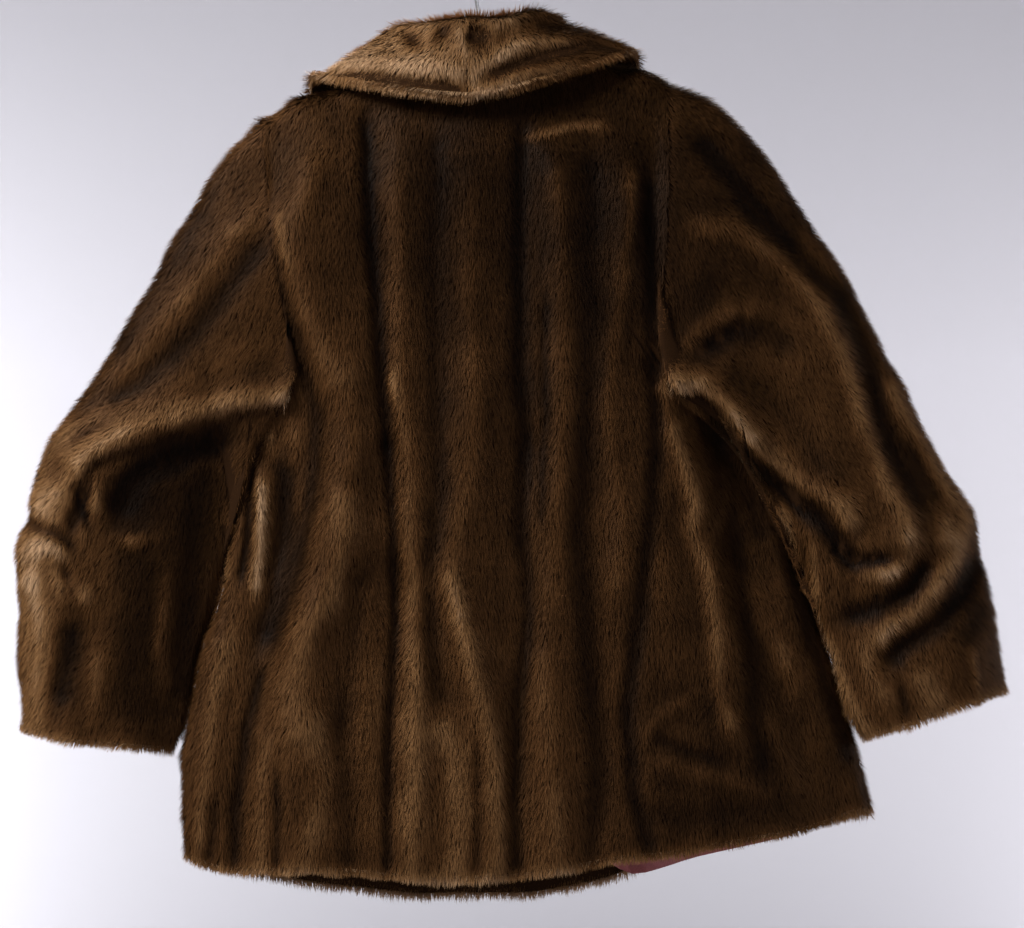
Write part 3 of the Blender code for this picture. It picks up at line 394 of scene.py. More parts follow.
def add_object(name, data):
    made = bpy.data.objects.new(name, data)
    bpy.context.scene.collection.objects.link(made)
    return made


# ---------------------------------------------------------------- surfaces

def unit(v):
    return v / np.maximum(np.linalg.norm(v, axis=-1, keepdims=True), 1e-12)


def centre_line(points, down):
    """Middles of slices across a tube, from its top to its foot."""
    level = points @ down
    edges = np.linspace(level.min(), level.max(), SLICES + 1)
    middles = []
    for low, high in zip(edges[:-1], edges[1:]):
        inside = points[(level >= low - 1e-6) & (level <= high + 1e-6)]
        middles.append((inside.min(0) + inside.max(0)) / 2)
    return np.array(middles)


def nearest_on(line, points):
    """The nearest point of a line of points, for each point."""
    best = np.full(len(points), 1e9)
    found = np.zeros_like(points)
    for a, b in zip(line[:-1], line[1:]):
        share = np.clip(((points - a) @ (b - a)) / ((b - a) @ (b - a)), 0, 1)
        spot = a + share[:, None] * (b - a)
        gap = np.linalg.norm(points - spot, axis=1)
        closer = gap < best
        best[closer], found[closer] = gap[closer], spot[closer]
    return found


SLEEVE_DOWN = {
    "sleeve_left": unit(np.array([-0.38, 0.0, -0.92])),
    "sleeve_right": unit(np.array([0.44, 0.0, -0.90])),
}


def solid_bmesh(node):
    """The solid as quads where its triangles pair up."""
    bm = bmesh.new()
    bm.from_mesh(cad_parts[node].data)
    bmesh.ops.remove_doubles(bm, verts=bm.verts, dist=WELD)
    bmesh.ops.join_triangles(bm, faces=bm.faces, cmp_seam=False, cmp_sharp=False, cmp_uvs=False,
                             cmp_vcols=False, cmp_materials=False,
                             angle_face_threshold=JOIN_FACES,
                             angle_shape_threshold=JOIN_SHAPES)
    bm.faces.ensure_lookup_table()
    return bm


def neighbours_tree(own):
    """The triangles of the other fur solids, as one tree."""
    points, faces, start = [], [], 0
    for panel in PANELS:
        if panel == own:
            continue
        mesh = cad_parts[panel.node].data
        mesh.calc_loop_triangles()
        points.append(numbers(mesh.vertices, "co", 3))
        faces.append(numbers(mesh.loop_triangles, "vertices", 3, np.int32) + start)
        start += len(mesh.vertices)
    return BVHTree.FromPolygons(np.vstack(points).tolist(), np.vstack(faces).tolist())


def is_collar(panel):
    return panel.node.startswith("collar")


def outward_of(panel, points, at_points):
    """The way out of the coat at these places."""
    if panel.outward is not None:
        return np.tile(np.array(panel.outward, float), (len(at_points), 1))
    line = centre_line(points, SLEEVE_DOWN.get(panel.node, np.array([0, 0, -1.0])))
    return unit(at_points - nearest_on(line, at_points))


def mark_sides(bm, panel):
    """Tells the faces that show pile from the lining's and from those in a seam, and gives
    the faces that form a rim."""
    others = neighbours_tree(panel)
    own = BVHTree.FromBMesh(bm)
    centres = np.array([f.calc_center_median() for f in bm.faces])
    normals = np.array([f.normal for f in bm.faces])
    points = np.array([v.co for v in bm.verts])
    facing = (outward_of(panel, points, centres) * normals).sum(1)
    rims = set()
    for face, c, n, s in zip(bm.faces, centres, normals, facing):
        if is_collar(panel):
            covered = others.ray_cast(Vector(c - n * SEAM / 2), Vector(n), UNDER_COLLAR)
            face.material_index = FUR if covered[0] is None else SEWN
            continue
        hit = own.ray_cast(Vector(c - n * RAY_START), Vector(-n), RAY_REACH)
        thick = hit[3] if hit[3] is not None else RAY_REACH
        narrow = sum(RIM_WIDTHS[0] < e.calc_length() < RIM_WIDTHS[1] for e in face.edges)
        beside = others.ray_cast(Vector(c - n * SEAM / 2), Vector(n), SEAM)
        sewn = beside[0] is not None and beside[1].dot(Vector(n)) < -ALIGNED
        on_plane = abs(n[1]) > ALIGNED and all(abs(v.co.y) < MM for v in face.verts)
        if narrow >= 2 and (thick >= WALL or sewn or on_plane):
            rims.add(face)
            face.material_index = SEWN if sewn else FUR
        else:
            face.material_index = LINING if s < 0 and thick < WALL else FUR
    return rims


def relax(bm, rims):
    """Smooths the bunched cloth round the underarms; rims stay where they are."""
    points = np.array([v.co for v in bm.verts])
    edges = np.array([[v.index for v in e.verts] for e in bm.edges])
    count = np.bincount(edges.ravel(), minlength=len(points))[:, None]
    far = np.linalg.norm(points[:, None, [0, 2]] - UNDERARMS, axis=2).min(1)
    share = SMOOTH_SHARE * np.exp(-(far / UNDERARM_REACH) ** 2)
    for face in rims:
        share[[v.index for v in face.verts]] = 0
    for _ in range(SMOOTH_ROUNDS):
        total = np.zeros_like(points)
        for a, b in ((0, 1), (1, 0)):
            np.add.at(total, edges[:, a], points[edges[:, b]])
        points += share[:, None] * (total / count - points)
    for vert, place in zip(bm.verts, points):
        vert.co = place


def fine_mesh(panel, levels):
    """The solid's form, rounded and finely divided, with its faces marked fur or lining."""
    bm = solid_bmesh(panel.node)
    rims = mark_sides(bm, panel)
    bm.verts.index_update()
    relax(bm, rims)
    bm.normal_update()
    crease = bm.edges.layers.float.new("crease_edge")
    sharp = COLLAR_CREASE if is_collar(panel) else PANEL_CREASE
    for edge in bm.edges:
        if len(edge.link_faces) != 2:
            continue
        beside_rim = is_collar(panel) or any(face in rims for face in edge.link_faces)
        if beside_rim and edge.calc_face_angle(0) > sharp:
            edge[crease] = 1.0
    mesh = bpy.data.meshes.new(panel.node + "_form")
    bm.to_mesh(mesh)
    bm.free()
    for _ in (FUR, LINING, SEWN):
        mesh.materials.append(None)
    made = add_object(panel.node + "_form", mesh)
    smoother = made.modifiers.new("fine", "SUBSURF")
    smoother.levels = levels
    smoother.render_levels = levels
    graph = bpy.context.evaluated_depsgraph_get()
    fine = bpy.data.meshes.new_from_object(made.evaluated_get(graph))
    bpy.data.objects.remove(made)
    bpy.data.meshes.remove(mesh)
    return fine


def numbers(items, name, width=1, kind=np.float32):
    """One property of many items, as an array with a row for each."""
    found = np.empty(len(items) * width, kind)
    items.foreach_get(name, found)
    return found.reshape(-1, width) if width > 1 else found


class Skin:
    """The fine form of one panel as arrays."""

    def __init__(self, panel, levels):
        self.panel = panel
        self.mesh = fine_mesh(panel, levels)
        self.read()

    def read(self):
        """Takes the arrays from the mesh. The normals of fur come from its own faces alone."""
        mesh = self.mesh
        self.points = numbers(mesh.vertices, "co", 3).astype(float)
        mesh.calc_loop_triangles()
        self.triangles = numbers(mesh.loop_triangles, "vertices", 3, np.int32)
        faces = numbers(mesh.loop_triangles, "polygon_index", 1, np.int32)
        slot = numbers(mesh.polygons, "material_index", 1, np.int32)
        self.slot = slot[faces]
        self.fur = self.slot == FUR
        corners = self.points[self.triangles]
        cross = np.cross(corners[:, 1] - corners[:, 0], corners[:, 2] - corners[:, 0])
        self.area = np.linalg.norm(cross, axis=1) / 2
        self.face_normal = unit(cross)
        self.centre = corners.mean(1)
        self.normals = numbers(mesh.vertex_normals, "vector", 3).astype(float)
        self.outer = np.zeros(len(self.points), bool)
        self.outer[self.triangles[self.fur].ravel()] = True
        lean = np.zeros_like(self.points)
        for corner in self.triangles[self.fur].T:
            for axis in range(3):
                lean[:, axis] += np.bincount(corner, cross[self.fur, axis], len(lean))
        self.normals[self.outer] = unit(lean[self.outer])

    def move(self, points):
        self.mesh.vertices.foreach_set("co", points.astype(np.float32).ravel())
        self.mesh.update()
        self.read()


def along_path(path, points):
    """Each point's distance from a line of pixels over the coat's height and width, whether it
    lies on the line's right, and from 0 to 1 how far inside the line's ends it lies."""
    knots = np.array([at(*spot) for spot in path])
    flat = points[:, [0, 2]]
    gap = np.full(len(points), 1e9)
    right = np.zeros(len(points), bool)
    share = np.zeros(len(points))
    lengths = np.linalg.norm(np.diff(knots, axis=0), axis=1)
    starts = np.concatenate([[0], np.cumsum(lengths)])
    for k, (a, b) in enumerate(zip(knots[:-1], knots[1:])):
        t = np.clip(((flat - a) @ (b - a)) / ((b - a) @ (b - a)), 0, 1)
        apart = np.linalg.norm(flat - a - t[:, None] * (b - a), axis=1)
        closer = apart < gap
        gap[closer] = apart[closer]
        turn = (b - a)[0] * (flat - a)[:, 1] - (b - a)[1] * (flat - a)[:, 0]
        right[closer] = turn[closer] < 0
        share[closer] = (starts[k] + t * lengths[k])[closer]
    ends = np.minimum(share, starts[-1] - share)
    return gap, right, np.clip(ends / END_FADE, 0, 1)


def marked(marks, points, light_and_shade=False):
    """The height in metres, or the tone of painted highlight and painted shade, that the marks
    give each point.
    """
    total = np.zeros(len(points))
    for mark in marks:
        amount = mark.tone if light_and_shade else mark.height * MM
        # troughs get deeper painted shade
        if light_and_shade and amount < 0:
            amount *= TROUGH_PAINTED_SHADE
        if amount == 0:
            continue
        gap, right, inside = along_path(mark.path, points)
        wide = np.where(right & (mark.under > 0), mark.under, mark.width) * PIXEL
        near = gap < 3 * wide
        fade = END_SHARE + (1 - END_SHARE) * inside[near]
        total[near] += amount * np.exp(-(gap[near] / wide[near]) ** 2) * fade
    return total


def shade_and_pelt_tone(points):
    """The tone that the broad patches give each point: mostly painted light and shade, with some
    of the pelt's own tone.
    """
    total = np.zeros(len(points))
    for patch in SHADE_AND_PELT_PATCHES:
        x, z = at(patch.px, patch.py)
        gap = (((points[:, 0] - x) / (patch.wide * PIXEL)) ** 2
               + ((points[:, 2] - z) / (patch.high * PIXEL)) ** 2)
        total += patch.tone * np.exp(-gap)
    return total


def facing_back(skin):
    """1 where the surface is on the side that faces -Y, 0 on the other, soft between."""
    if skin.panel.outward is not None:
        return np.full(len(skin.points), float(skin.panel.outward[1] < 0))
    if is_collar(skin.panel):
        turned = np.clip(-skin.normals[:, 1] * 2, 0, 1)
        return turned * np.clip(-skin.points[:, 1] / COLLAR_BLEND, 0, 1)
    line = centre_line(skin.points, SLEEVE_DOWN[skin.panel.node])
    away = skin.points - nearest_on(line, skin.points)
    return np.clip(0.5 - away[:, 1] / SIDE_BLEND, 0, 1)


def marks_of(panel):
    """The marks on the panel's back, and those on its front."""
    if is_collar(panel):
        return COLLAR_MARKS, []
    if panel.outward is not None:
        return BACK_MARKS, FRONT_MARKS
    return SLEEVE_MARKS[panel.node], SLEEVE_FRONT_MARKS[panel.node]


def emboss(skin):
    """Moves the fine form by the marks' heights, across the coat, and by its bulges. Gives how
    far the marks on the back push each point out."""
    behind, before = marks_of(skin.panel)
    back = facing_back(skin)
    moved = skin.points.copy()
    push = marked(behind, skin.points) * back if back.any() else np.zeros(len(back))
    moved[:, 1] -= push
    if not back.all() and before:
        moved[:, 1] += marked(before, skin.points) * (1 - back)
    flat = skin.points[:, [0, 2]]
    out = unit(flat - MIDDLE)
    if skin.panel.node.startswith("front"):
        near = np.exp(-(flat[:, 0] / MEETING_REACH) ** 2)
        moved[:, 0] -= np.sign(flat[:, 0]) * MEETING_PULL * near
    for bulge in BULGES:
        if not skin.panel.node.startswith(bulge.nodes):
            continue
        gap = np.linalg.norm(flat - at(bulge.px, bulge.py), axis=1) / (bulge.reach * PIXEL)
        moved[:, [0, 2]] += out * (bulge.out * MM * np.exp(-gap ** 2))[:, None]
        moved[:, 2] += bulge.up * MM * np.exp(-gap ** 2)
    skin.move(moved)
    return push


def proud(skin, rounds=24):
    """How far each point stands above its smoothed neighbourhood, in metres."""
    edges = numbers(skin.mesh.edges, "vertices", 2, np.int32)
    count = np.maximum(np.bincount(edges.ravel(), minlength=len(skin.points)), 1)[:, None]
    soft = skin.points.copy()
    for _ in range(rounds):
        total = np.zeros_like(soft)
        for axis in range(3):
            total[:, axis] = (np.bincount(edges[:, 0], soft[edges[:, 1], axis], len(soft))
                              + np.bincount(edges[:, 1], soft[edges[:, 0], axis], len(soft)))
        soft = 0.5 * soft + 0.5 * total / count
    return ((skin.points - soft) * skin.normals).sum(1)


# ---------------------------------------------------------------- pile

def smooth_noise(points, scale, seed):
    """Soft noise from -1 to 1 made of a few waves across space."""
    rng = np.random.default_rng(seed)
    total = np.zeros(len(points))
    for _ in range(NOISE_WAVES):
        direction = unit(rng.normal(size=3))
        wave = 2 * math.pi / (scale * rng.uniform(0.6, 1.8))
        total += np.sin(points @ direction * wave + rng.uniform(0, 2 * math.pi))
    return total / NOISE_WAVES * 2.0


def nap_of(skin, points, normals):
    """The way that the pile lies at each root, along the surface, and from 0 to 1 how fully it
    can lie that way there."""
    node = skin.panel.node
    if node in SLEEVE_DOWN:
        down = np.tile(SLEEVE_DOWN[node], (len(points), 1))
    elif node.startswith("collar"):
        out = points * np.array([1.0, 1.0, 0.0]) - np.array([0.0, 0.005, 0.0])
        down = unit(out) * COLLAR_SPLAY + np.array([0.0, 0.0, -1.0])
    else:
        flare = points[:, 0] * FLARE
        down = np.stack([flare, np.zeros(len(points)), -np.ones(len(points))], 1)
    down = unit(down)
    flat = down - (down * normals).sum(1)[:, None] * normals
    strength = np.linalg.norm(flat, axis=1)
    return unit(flat), np.clip(strength / NAP_LIES, 0, 1)


def pile_mesh(name, roots, tips, sides, normals, tone, material):
    """One blade of three corners for each root."""
    count = len(roots)
    points = np.stack([roots - sides, roots + sides, tips], 1).reshape(-1, 3)
    mesh = bpy.data.meshes.new(name)
    mesh.vertices.add(3 * count)
    mesh.vertices.foreach_set("co", points.astype(np.float32).ravel())
    mesh.loops.add(3 * count)
    mesh.loops.foreach_set("vertex_index", np.arange(3 * count, dtype=np.int32))
    mesh.polygons.add(count)
    mesh.polygons.foreach_set("loop_start", np.arange(0, 3 * count, 3, dtype=np.int32))
    mesh.update(calc_edges=True)
    mesh.polygons.foreach_set("use_smooth", np.ones(count, bool))
    along = np.tile(np.array([0.0, 0.0, 1.0], np.float32), count)
    held = mesh.attributes.new("along", "FLOAT", "POINT")
    held.data.foreach_set("value", along)
    held = mesh.attributes.new("tone", "FLOAT", "POINT")
    held.data.foreach_set("value", np.repeat(tone, 3).astype(np.float32))
    layer = mesh.uv_layers.new(name="OFBake")
    spot = np.clip(tone, 0, 1)[:, None] * 0.96 + np.array([0.015, 0.025, 0.02])
    rise = np.tile(np.array([0.02, 0.02, 0.98]), (count, 1))
    layer.uv.foreach_set("vector", np.stack([spot, rise], 2).astype(np.float32).ravel())
    mesh.materials.append(material)
    mesh.normals_split_custom_set_from_vertices(np.repeat(normals, 3, axis=0).tolist())
    return add_object(name, mesh)


def tone_of(skin, points, normals, high, side, room, rng):
    """From 0, the darkest, to 1, the palest tips: the pelt's own uneven tone plus painted
    highlights and painted shade from relief, marks, patches, collar, edges and limbs.
    """
    streaks = points * np.array([1.0, 1.0, 0.3])
    broad, fine = (smooth_noise(streaks, *noise) for noise in TONE_NOISES)
    tone = BASE_TONE + BROAD_TONE * broad + FINE_TONE * fine
    # painted highlight where the pile stands proud, painted shade where it sinks
    tone += np.clip(high / PROUD_HEIGHT, -1, 1) * PROUD_LIGHT_AND_SHADE
    behind, before = marks_of(skin.panel)
    # painted highlights on ridges and painted shade in troughs and under lips, from the marks
    tone += marked(behind, points, light_and_shade=True) * side
    tone += marked(before, points, light_and_shade=True) * (1 - side)
    if is_collar(skin.panel):
        # painted light on the collar, palest at its left where the light falls, fading to the
        # right
        across = np.clip((points[:, 0] - COLLAR_FADES_FROM) / COLLAR_FADES_OVER, 0, 1)
        tone += COLLAR_TONE - COLLAR_LIGHT_FADE * across
    else:
        # painted shade and painted light from the broad patches, with some pelt tone
        tone += shade_and_pelt_tone(points) * side
    # painted light: lit pile tips along hems and cuffs, paler still on the fronts' shadowed hems
    edge = FRONT_EDGE_LIGHT if skin.panel.node.startswith("front") else EDGE_LIGHT
    tone += edge * np.exp(-(room / EDGE_LIGHT_REACH) ** 2)
    # painted rim light where the surface turns away from the view
    tone += LIMB_LIGHT * np.clip(1 - LIMB_TURN * np.abs(normals[:, 1]), 0, 1)
    return np.clip(tone + rng.normal(0, TONE_SPREAD, len(points)), 0, 1)


def to_the_edge(skin, points, down):
    """How far each point lies above its panel's hem or cuff, along the pile."""
    if is_collar(skin.panel):
        return np.full(len(points), 1.0)
    across = unit(np.cross(down, np.array([0.0, 1.0, 0.0])))
    level, side = skin.points @ down, skin.points @ across
    rim = (skin.normals @ down > 0.7) & skin.outer & (level > level.max() - EDGE_BAND)
    order = np.argsort(side[rim])
    spots, levels = side[rim][order], level[rim][order]
    bins = np.linspace(spots[0], spots[-1], EDGE_BINS)
    held = np.digitize(spots, bins)
    used = [k for k in range(len(bins) + 1) if (held == k).any()]
    middles = [spots[held == k].mean() for k in used]
    lowest = [levels[held == k].max() for k in used]
    return np.interp(points @ across, middles, lowest) - points @ down


def scatter(weight, count, rng):
    """Picks triangles by weight, and a place in each as the shares of its three corners."""
    pick = rng.choice(len(weight), size=count, p=weight / weight.sum())
    u, v = rng.random(count), rng.random(count)
    over = u + v > 1
    u[over], v[over] = 1 - u[over], 1 - v[over]
    return pick, np.stack([1 - u - v, u, v], 1)


def pile_ways(top, normals, flat, lies, rng):
    """The direction of each strand: along the nap, turned and lifted a little at random."""
    count = len(top)
    broad, fine = (smooth_noise(top, *noise) for noise in TURN_NOISES)
    turn = TURN_BROAD * broad + TURN_FINE * fine
    turn += rng.normal(0, TURN_SPREAD, count)
    across = unit(np.cross(normals, flat))
    flat = flat * np.cos(turn)[:, None] + across * np.sin(turn)[:, None]
    lift = PILE_LIFT + rng.normal(0, LIFT_SPREAD, count)
    lift += LIFT_WAVE * smooth_noise(top, *LIFT_NOISE)
    lift = np.where(lies < 1, lift * lies + UPRIGHT * (1 - lies), lift)
    return unit(flat * np.cos(lift)[:, None] + normals * np.sin(lift)[:, None])


def blade_sides(way, normals, reach, rng):
    """From each blade's root to its right corner, so that the blade faces out."""
    count = len(way)
    roll = rng.normal(0, ROLL_SPREAD, count)
    sides = unit(np.cross(way, normals))
    facing = unit(np.cross(sides, way))
    sides = sides * np.cos(roll)[:, None] + facing * np.sin(roll)[:, None]
    sides *= PILE_WIDTH / 2 * rng.uniform(*WIDTHS, count)[:, None]
    turned = np.cross(2 * sides, reach)
    sides[(turned * normals).sum(1) < 0] *= -1
    return sides


def grow(skin, push, material, seed):
    """The panel's pile, in one or more pieces."""
    panel, count = skin.panel, skin.panel.strands
    front = panel.node.startswith("front")
    rng = np.random.default_rng(seed)
    lifted = push[skin.triangles].min(1) > LIFTED
    fringe = SLEEVE_DOWN.get(panel.node, np.array([0.0, 0.0, -1.0]))
    turned_in = front & (skin.slot == LINING)
    turned_in &= to_the_edge(skin, skin.centre, fringe) < TURN_IN
    weight = skin.area * (skin.fur | ((skin.slot == SEWN) & lifted) | turned_in)
    pick, share = scatter(weight, count, rng)
    corners = skin.triangles[pick]
    top = (skin.points[corners] * share[:, :, None]).sum(1)
    normals = unit((skin.normals[corners] * share[:, :, None]).sum(1))
    bare = ~skin.fur[pick]
    normals[bare] = skin.face_normal[pick[bare]]
    roots = top - normals * BACKING_DEPTH
    flat, lies = nap_of(skin, top, normals)
    way = pile_ways(top, normals, flat, lies, rng)

    length = PILE_LENGTH * rng.uniform(*LENGTHS, count) * (0.7 + 0.3 * lies)
    if is_collar(panel):
        length *= np.where(normals[:, 1] > 0, FRONT_COLLAR_LENGTH, BACK_COLLAR_LENGTH)
    room = to_the_edge(skin, top, fringe)
    hang = EDGE_FRINGE * (FRONT_FRINGE if front else 1.0)
    scallop = 1 + SCALLOP * smooth_noise(top, *SCALLOP_NOISE)
    spare = room + hang * scallop * rng.uniform(*FRINGES, count)
    length = np.clip(spare / np.maximum(way @ fringe, 0.05), SHORTEST * length, length)
    tips = roots + way * length[:, None]

    sides = blade_sides(way, normals, tips - roots, rng)
    blade = unit(np.cross(2 * sides, tips - roots))
    shade = unit(normals * 0.92 + blade * 0.08)
    high = (proud(skin)[corners] * share).sum(1)
    side = (facing_back(skin)[corners] * share).sum(1)
    tone = tone_of(skin, top, normals, high, side, room, rng)
    pieces = []
    order = np.argsort(top[:, 0]) if panel.pieces > 1 else np.arange(count)
    for k, chosen in enumerate(np.array_split(order, panel.pieces)):
        name = f"{panel.node}_pile" + (f"_{k + 1}" if panel.pieces > 1 else "")
        pieces.append(pile_mesh(name, roots[chosen], tips[chosen], sides[chosen], shade[chosen],
                                tone[chosen], material))
    return pieces


# ---------------------------------------------------------------- materials

# The pile's colour at each tone, painted light and shade included
PELT = [(0.0, (0.008, 0.0033, 0.0011)), (0.25, (0.032, 0.0132, 0.0036)),
        (0.5, (0.106, 0.046, 0.0145)), (0.75, (0.265, 0.137, 0.055)), (1.0, (0.58, 0.37, 0.21))]
ROOT_SHADE = (0.46, 0.42, 0.38, 1)
ROOT_FADE = 0.6               # the power by which roots pale towards the tips
BACKING = [(0.3, (0.010, 0.004, 0.0014)), (0.7, (0.026, 0.011, 0.0035))]
SATIN = [(0.3, (0.42, 0.115, 0.12)), (0.7, (0.56, 0.18, 0.18))]
BEECH = [(0.25, (0.20, 0.090, 0.034)), (0.5, (0.36, 0.185, 0.075)),
         (0.75, (0.43, 0.235, 0.105))]
STEEL = [(0.3, (0.42, 0.42, 0.43)), (0.7, (0.62, 0.62, 0.63))]
PALE_WALL = (0.34, 0.332, 0.356, 1)


def new_material(name):
    made = bpy.data.materials.new(name)
    made.use_nodes = True
    tree = made.node_tree
    return made, tree.nodes, tree.links, tree.nodes["Principled BSDF"]


def set_inputs(node, **values):
    """Sets a node's inputs, with underscores here for the spaces in their names."""
    for name, value in values.items():
        node.inputs[name.replace("_", " ")].default_value = value


def ramp(nodes, stops):
    made = nodes.new("ShaderNodeValToRGB")
    while len(made.color_ramp.elements) > 1:
        made.color_ramp.elements.remove(made.color_ramp.elements[-1])
    made.color_ramp.elements[0].position = stops[0][0]
    made.color_ramp.elements[0].color = (*stops[0][1], 1)
    for place, colour in stops[1:]:
        made.color_ramp.elements.new(place).color = (*colour, 1)
    return made


def pile_material():
    made, nodes, links, shader = new_material("faux_mink_pile")
    tone = nodes.new("ShaderNodeAttribute")
    tone.attribute_name = "tone"
    along = nodes.new("ShaderNodeAttribute")
    along.attribute_name = "along"
    tips = ramp(nodes, PELT)
    links.new(tone.outputs["Fac"], tips.inputs["Fac"])
    roots = nodes.new("ShaderNodeMix")
    roots.data_type = "RGBA"
    roots.blend_type = "MULTIPLY"
    roots.inputs["Factor"].default_value = 1.0
    roots.inputs["B"].default_value = ROOT_SHADE
    links.new(tips.outputs["Color"], roots.inputs["A"])
    mix = nodes.new("ShaderNodeMix")
    mix.data_type = "RGBA"
    links.new(roots.outputs["Result"], mix.inputs["A"])
    rise = nodes.new("ShaderNodeMath")
    rise.operation = "POWER"
    rise.inputs[1].default_value = ROOT_FADE
    links.new(along.outputs["Fac"], rise.inputs[0])
    links.new(rise.outputs["Value"], mix.inputs["Factor"])
    links.new(tips.outputs["Color"], mix.inputs["B"])
    links.new(mix.outputs["Result"], shader.inputs["Base Color"])
    set_inputs(shader, Roughness=0.6, Specular_IOR_Level=0.06, Sheen_Weight=0.06,
               Sheen_Roughness=0.4, Sheen_Tint=(0.75, 0.55, 0.32, 1))
    return made


def object_place(nodes, links, stretch):
    """Places on the object, stretched along its axes."""
    place = nodes.new("ShaderNodeTexCoord")
    mapping = nodes.new("ShaderNodeMapping")
    set_inputs(mapping, Scale=stretch)
    links.new(place.outputs["Object"], mapping.inputs["Vector"])
    return mapping.outputs["Vector"]


def colour_by_noise(nodes, links, shader, stops, scale, detail, place=None):
    """Colours the shader by soft noise, and gives the noise."""
    noise = nodes.new("ShaderNodeTexNoise")
    set_inputs(noise, Scale=scale, Detail=detail)
    if place is not None:
        links.new(place, noise.inputs["Vector"])
    shades = ramp(nodes, stops)
    links.new(noise.outputs["Fac"], shades.inputs["Fac"])
    links.new(shades.outputs["Color"], shader.inputs["Base Color"])
    return noise


def backing_material():
    made, nodes, links, shader = new_material("pile_backing")
    colour_by_noise(nodes, links, shader, BACKING, 900, 3)
    set_inputs(shader, Roughness=0.9, Specular_IOR_Level=0.05)
    return made


def satin_material():
    made, nodes, links, shader = new_material("pink_lining_satin")
    place = object_place(nodes, links, (1800, 1800, 260))
    threads = colour_by_noise(nodes, links, shader, SATIN, 1, 2, place)
    bump = nodes.new("ShaderNodeBump")
    set_inputs(bump, Strength=0.15, Distance=0.0003)
    links.new(threads.outputs["Fac"], bump.inputs["Height"])
    links.new(bump.outputs["Normal"], shader.inputs["Normal"])
    set_inputs(shader, Roughness=0.36, Sheen_Weight=0.3)
    return made


def wood_material():
    made, nodes, links, shader = new_material("varnished_beech")
    colour_by_noise(nodes, links, shader, BEECH, 1, 6, object_place(nodes, links, (18, 160, 160)))
    set_inputs(shader, Roughness=0.32, Coat_Weight=0.4, Coat_Roughness=0.2)
    return made


def wire_material():
    made, nodes, links, shader = new_material("drawn_steel_wire")
    place = nodes.new("ShaderNodeTexCoord")
    colour_by_noise(nodes, links, shader, STEEL, 900, 2, place.outputs["Object"])
    set_inputs(shader, Metallic=1.0, Roughness=0.3)
    return made


def wall_material():
    made, _, _, shader = new_material("pale_studio")
    set_inputs(shader, Base_Color=PALE_WALL, Roughness=0.95, Specular_IOR_Level=0.0)
    return made


# ---------------------------------------------------------------- camera, light, stage

PHOTO_MIDDLE = (512, 464)     # in pixels
LENS, SENSOR = 170, 36        # in mm
CAMERA_AWAY = 4.6

Lamp = namedtuple("Lamp", "name place target size power colour")
LAMPS = [
    Lamp("key", (-2.6, -1.9, 1.9), (0, 0, -0.45), 1.3, 262, (1.0, 0.97, 0.93)),
    Lamp("fill", (2.2, -2.8, 0.2), (0, 0, -0.5), 2.6, 16, (0.92, 0.94, 1.0)),
    Lamp("rear", (0.2, 3.2, 2.2), (0, 0, -0.4), 2.6, 120, (1.0, 0.98, 0.96)),
    Lamp("side", (3.0, 0.6, -0.2), (0.1, 0, -0.45), 1.5, 36, (0.95, 0.96, 1.0)),
    Lamp("wash", (-2.9, 6.2, -0.8), (-1.6, 7.9, -1.4), 1.0, 235, (0.98, 0.99, 1.0)),
    Lamp("low_wash", (2.7, 6.0, -1.3), (0.6, 7.6, -1.7), 1.0, 150, (0.98, 0.98, 1.0)),
]
AIR_COLOUR, AIR_STRENGTH = (0.88, 0.90, 1.0, 1), 0.20

# The studio's bowl is wide enough for a camera 7.2 m away on any side
FLOOR, RADIUS, FILLET, TOP = -1.75, 8.0, 1.5, 6.0
FILLET_STEPS, BOWL_SIDES = 12, 96


def add_camera():
    data = bpy.data.cameras.new("camera")
    data.lens = LENS
    data.sensor_width = SENSOR
    camera = add_object("camera", data)
    x, z = at(*PHOTO_MIDDLE)
    camera.location = (x, -CAMERA_AWAY, z)
    camera.rotation_euler = (math.pi / 2, 0, 0)
    bpy.context.scene.camera = camera


def add_lights():
    for lamp in LAMPS:
        data = bpy.data.lights.new(lamp.name, "AREA")
        data.shape = "DISK"
        data.size = lamp.size
        data.energy = lamp.power
        data.color = lamp.colour
        made = add_object(lamp.name, data)
        made.location = lamp.place
        aim = Vector(lamp.target) - Vector(lamp.place)
        made.rotation_euler = aim.to_track_quat("-Z", "Y").to_euler()
    world = bpy.data.worlds.new("studio_air")
    bpy.context.scene.world = world
    world.use_nodes = True
    set_inputs(world.node_tree.nodes["Background"], Color=AIR_COLOUR, Strength=AIR_STRENGTH)


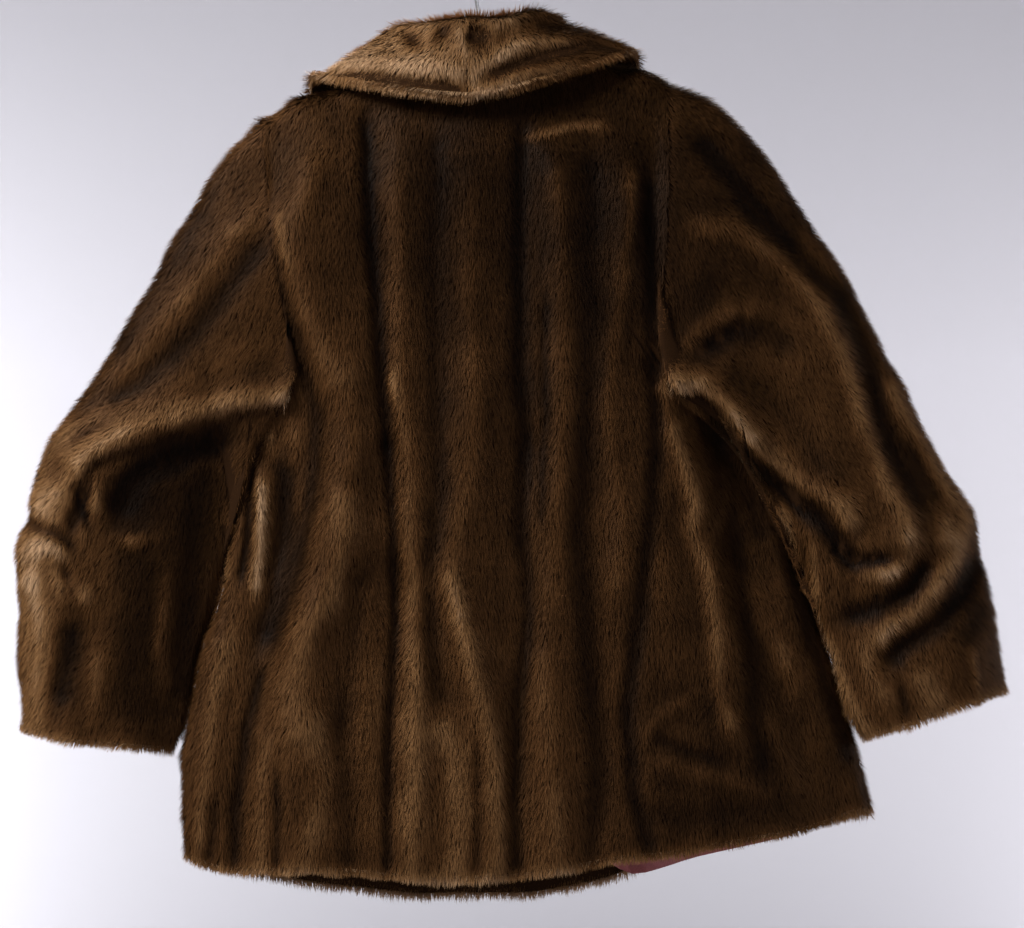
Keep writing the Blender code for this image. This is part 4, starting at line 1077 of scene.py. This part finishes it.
def add_stage(material):
    """A round floor whose edge sweeps up into a wall, open at the top."""
    profile = [(RADIUS - FILLET, FLOOR)]
    for k in range(1, FILLET_STEPS + 1):
        a = math.pi / 2 * k / FILLET_STEPS
        profile.append((RADIUS - FILLET + FILLET * math.sin(a),
                        FLOOR + FILLET - FILLET * math.cos(a)))
    profile.append((RADIUS, TOP))
    turns = [2 * math.pi * k / BOWL_SIDES for k in range(BOWL_SIDES)]
    bm = bmesh.new()
    rows = [[bm.verts.new((r * math.cos(turn), r * math.sin(turn), z)) for turn in turns]
            for r, z in profile]
    hub = bm.verts.new((0, 0, FLOOR))
    for k in range(BOWL_SIDES):
        following = (k + 1) % BOWL_SIDES
        bm.faces.new((hub, rows[0][k], rows[0][following]))
        for a, b in zip(rows[:-1], rows[1:]):
            bm.faces.new((a[k], b[k], b[following], a[following]))
    bmesh.ops.recalc_face_normals(bm, faces=bm.faces)
    mesh = bpy.data.meshes.new("studio_bowl")
    bm.to_mesh(mesh)
    bm.free()
    mesh.polygons.foreach_set("use_smooth", np.ones(len(mesh.polygons), bool))
    mesh.materials.append(material)
    add_object("studio_bowl", mesh)


# ---------------------------------------------------------------- build

def backing(skin, cloth, lining):
    """The panel's cloth: the form with its fur side set in under the pile."""
    mesh = skin.mesh
    inner = np.zeros(len(skin.points), bool)
    inner[skin.triangles[skin.slot == LINING].ravel()] = True
    depth = np.where(skin.outer, np.where(inner, 0.5, 1.0), 0.0) * BACKING_DEPTH
    moved = skin.points - skin.normals * depth[:, None]
    mesh.vertices.foreach_set("co", moved.astype(np.float32).ravel())
    mesh.update()
    mesh.materials.clear()
    for material in (cloth, lining, cloth):     # fur, lining and sewn faces
        mesh.materials.append(material)
    mesh.polygons.foreach_set("use_smooth", np.ones(len(mesh.polygons), bool))
    return add_object(skin.panel.node + "_cloth", mesh)


def main():
    bpy.context.scene.view_settings.view_transform = "Standard"
    add_camera()
    add_lights()
    add_stage(wall_material())

    pile, cloth, satin = pile_material(), backing_material(), satin_material()
    for seed, panel in enumerate(PANELS):
        skin = Skin(panel, PILE_LEVEL)
        push = emboss(skin)
        piles = grow(skin, push, pile, 100 + seed)
        bpy.data.meshes.remove(skin.mesh)
        form = Skin(panel, CLOTH_LEVEL)
        emboss(form)
        sheet = backing(form, cloth, satin)
        for piece in piles:
            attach(piece, "root")
        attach(sheet, "root")
        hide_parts(panel.node)

    for node, material in (("lining_hem", satin), ("hanger_bar", wood_material()),
                           ("hanger_hook", wire_material())):
        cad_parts[node].data.materials[0] = material


main()
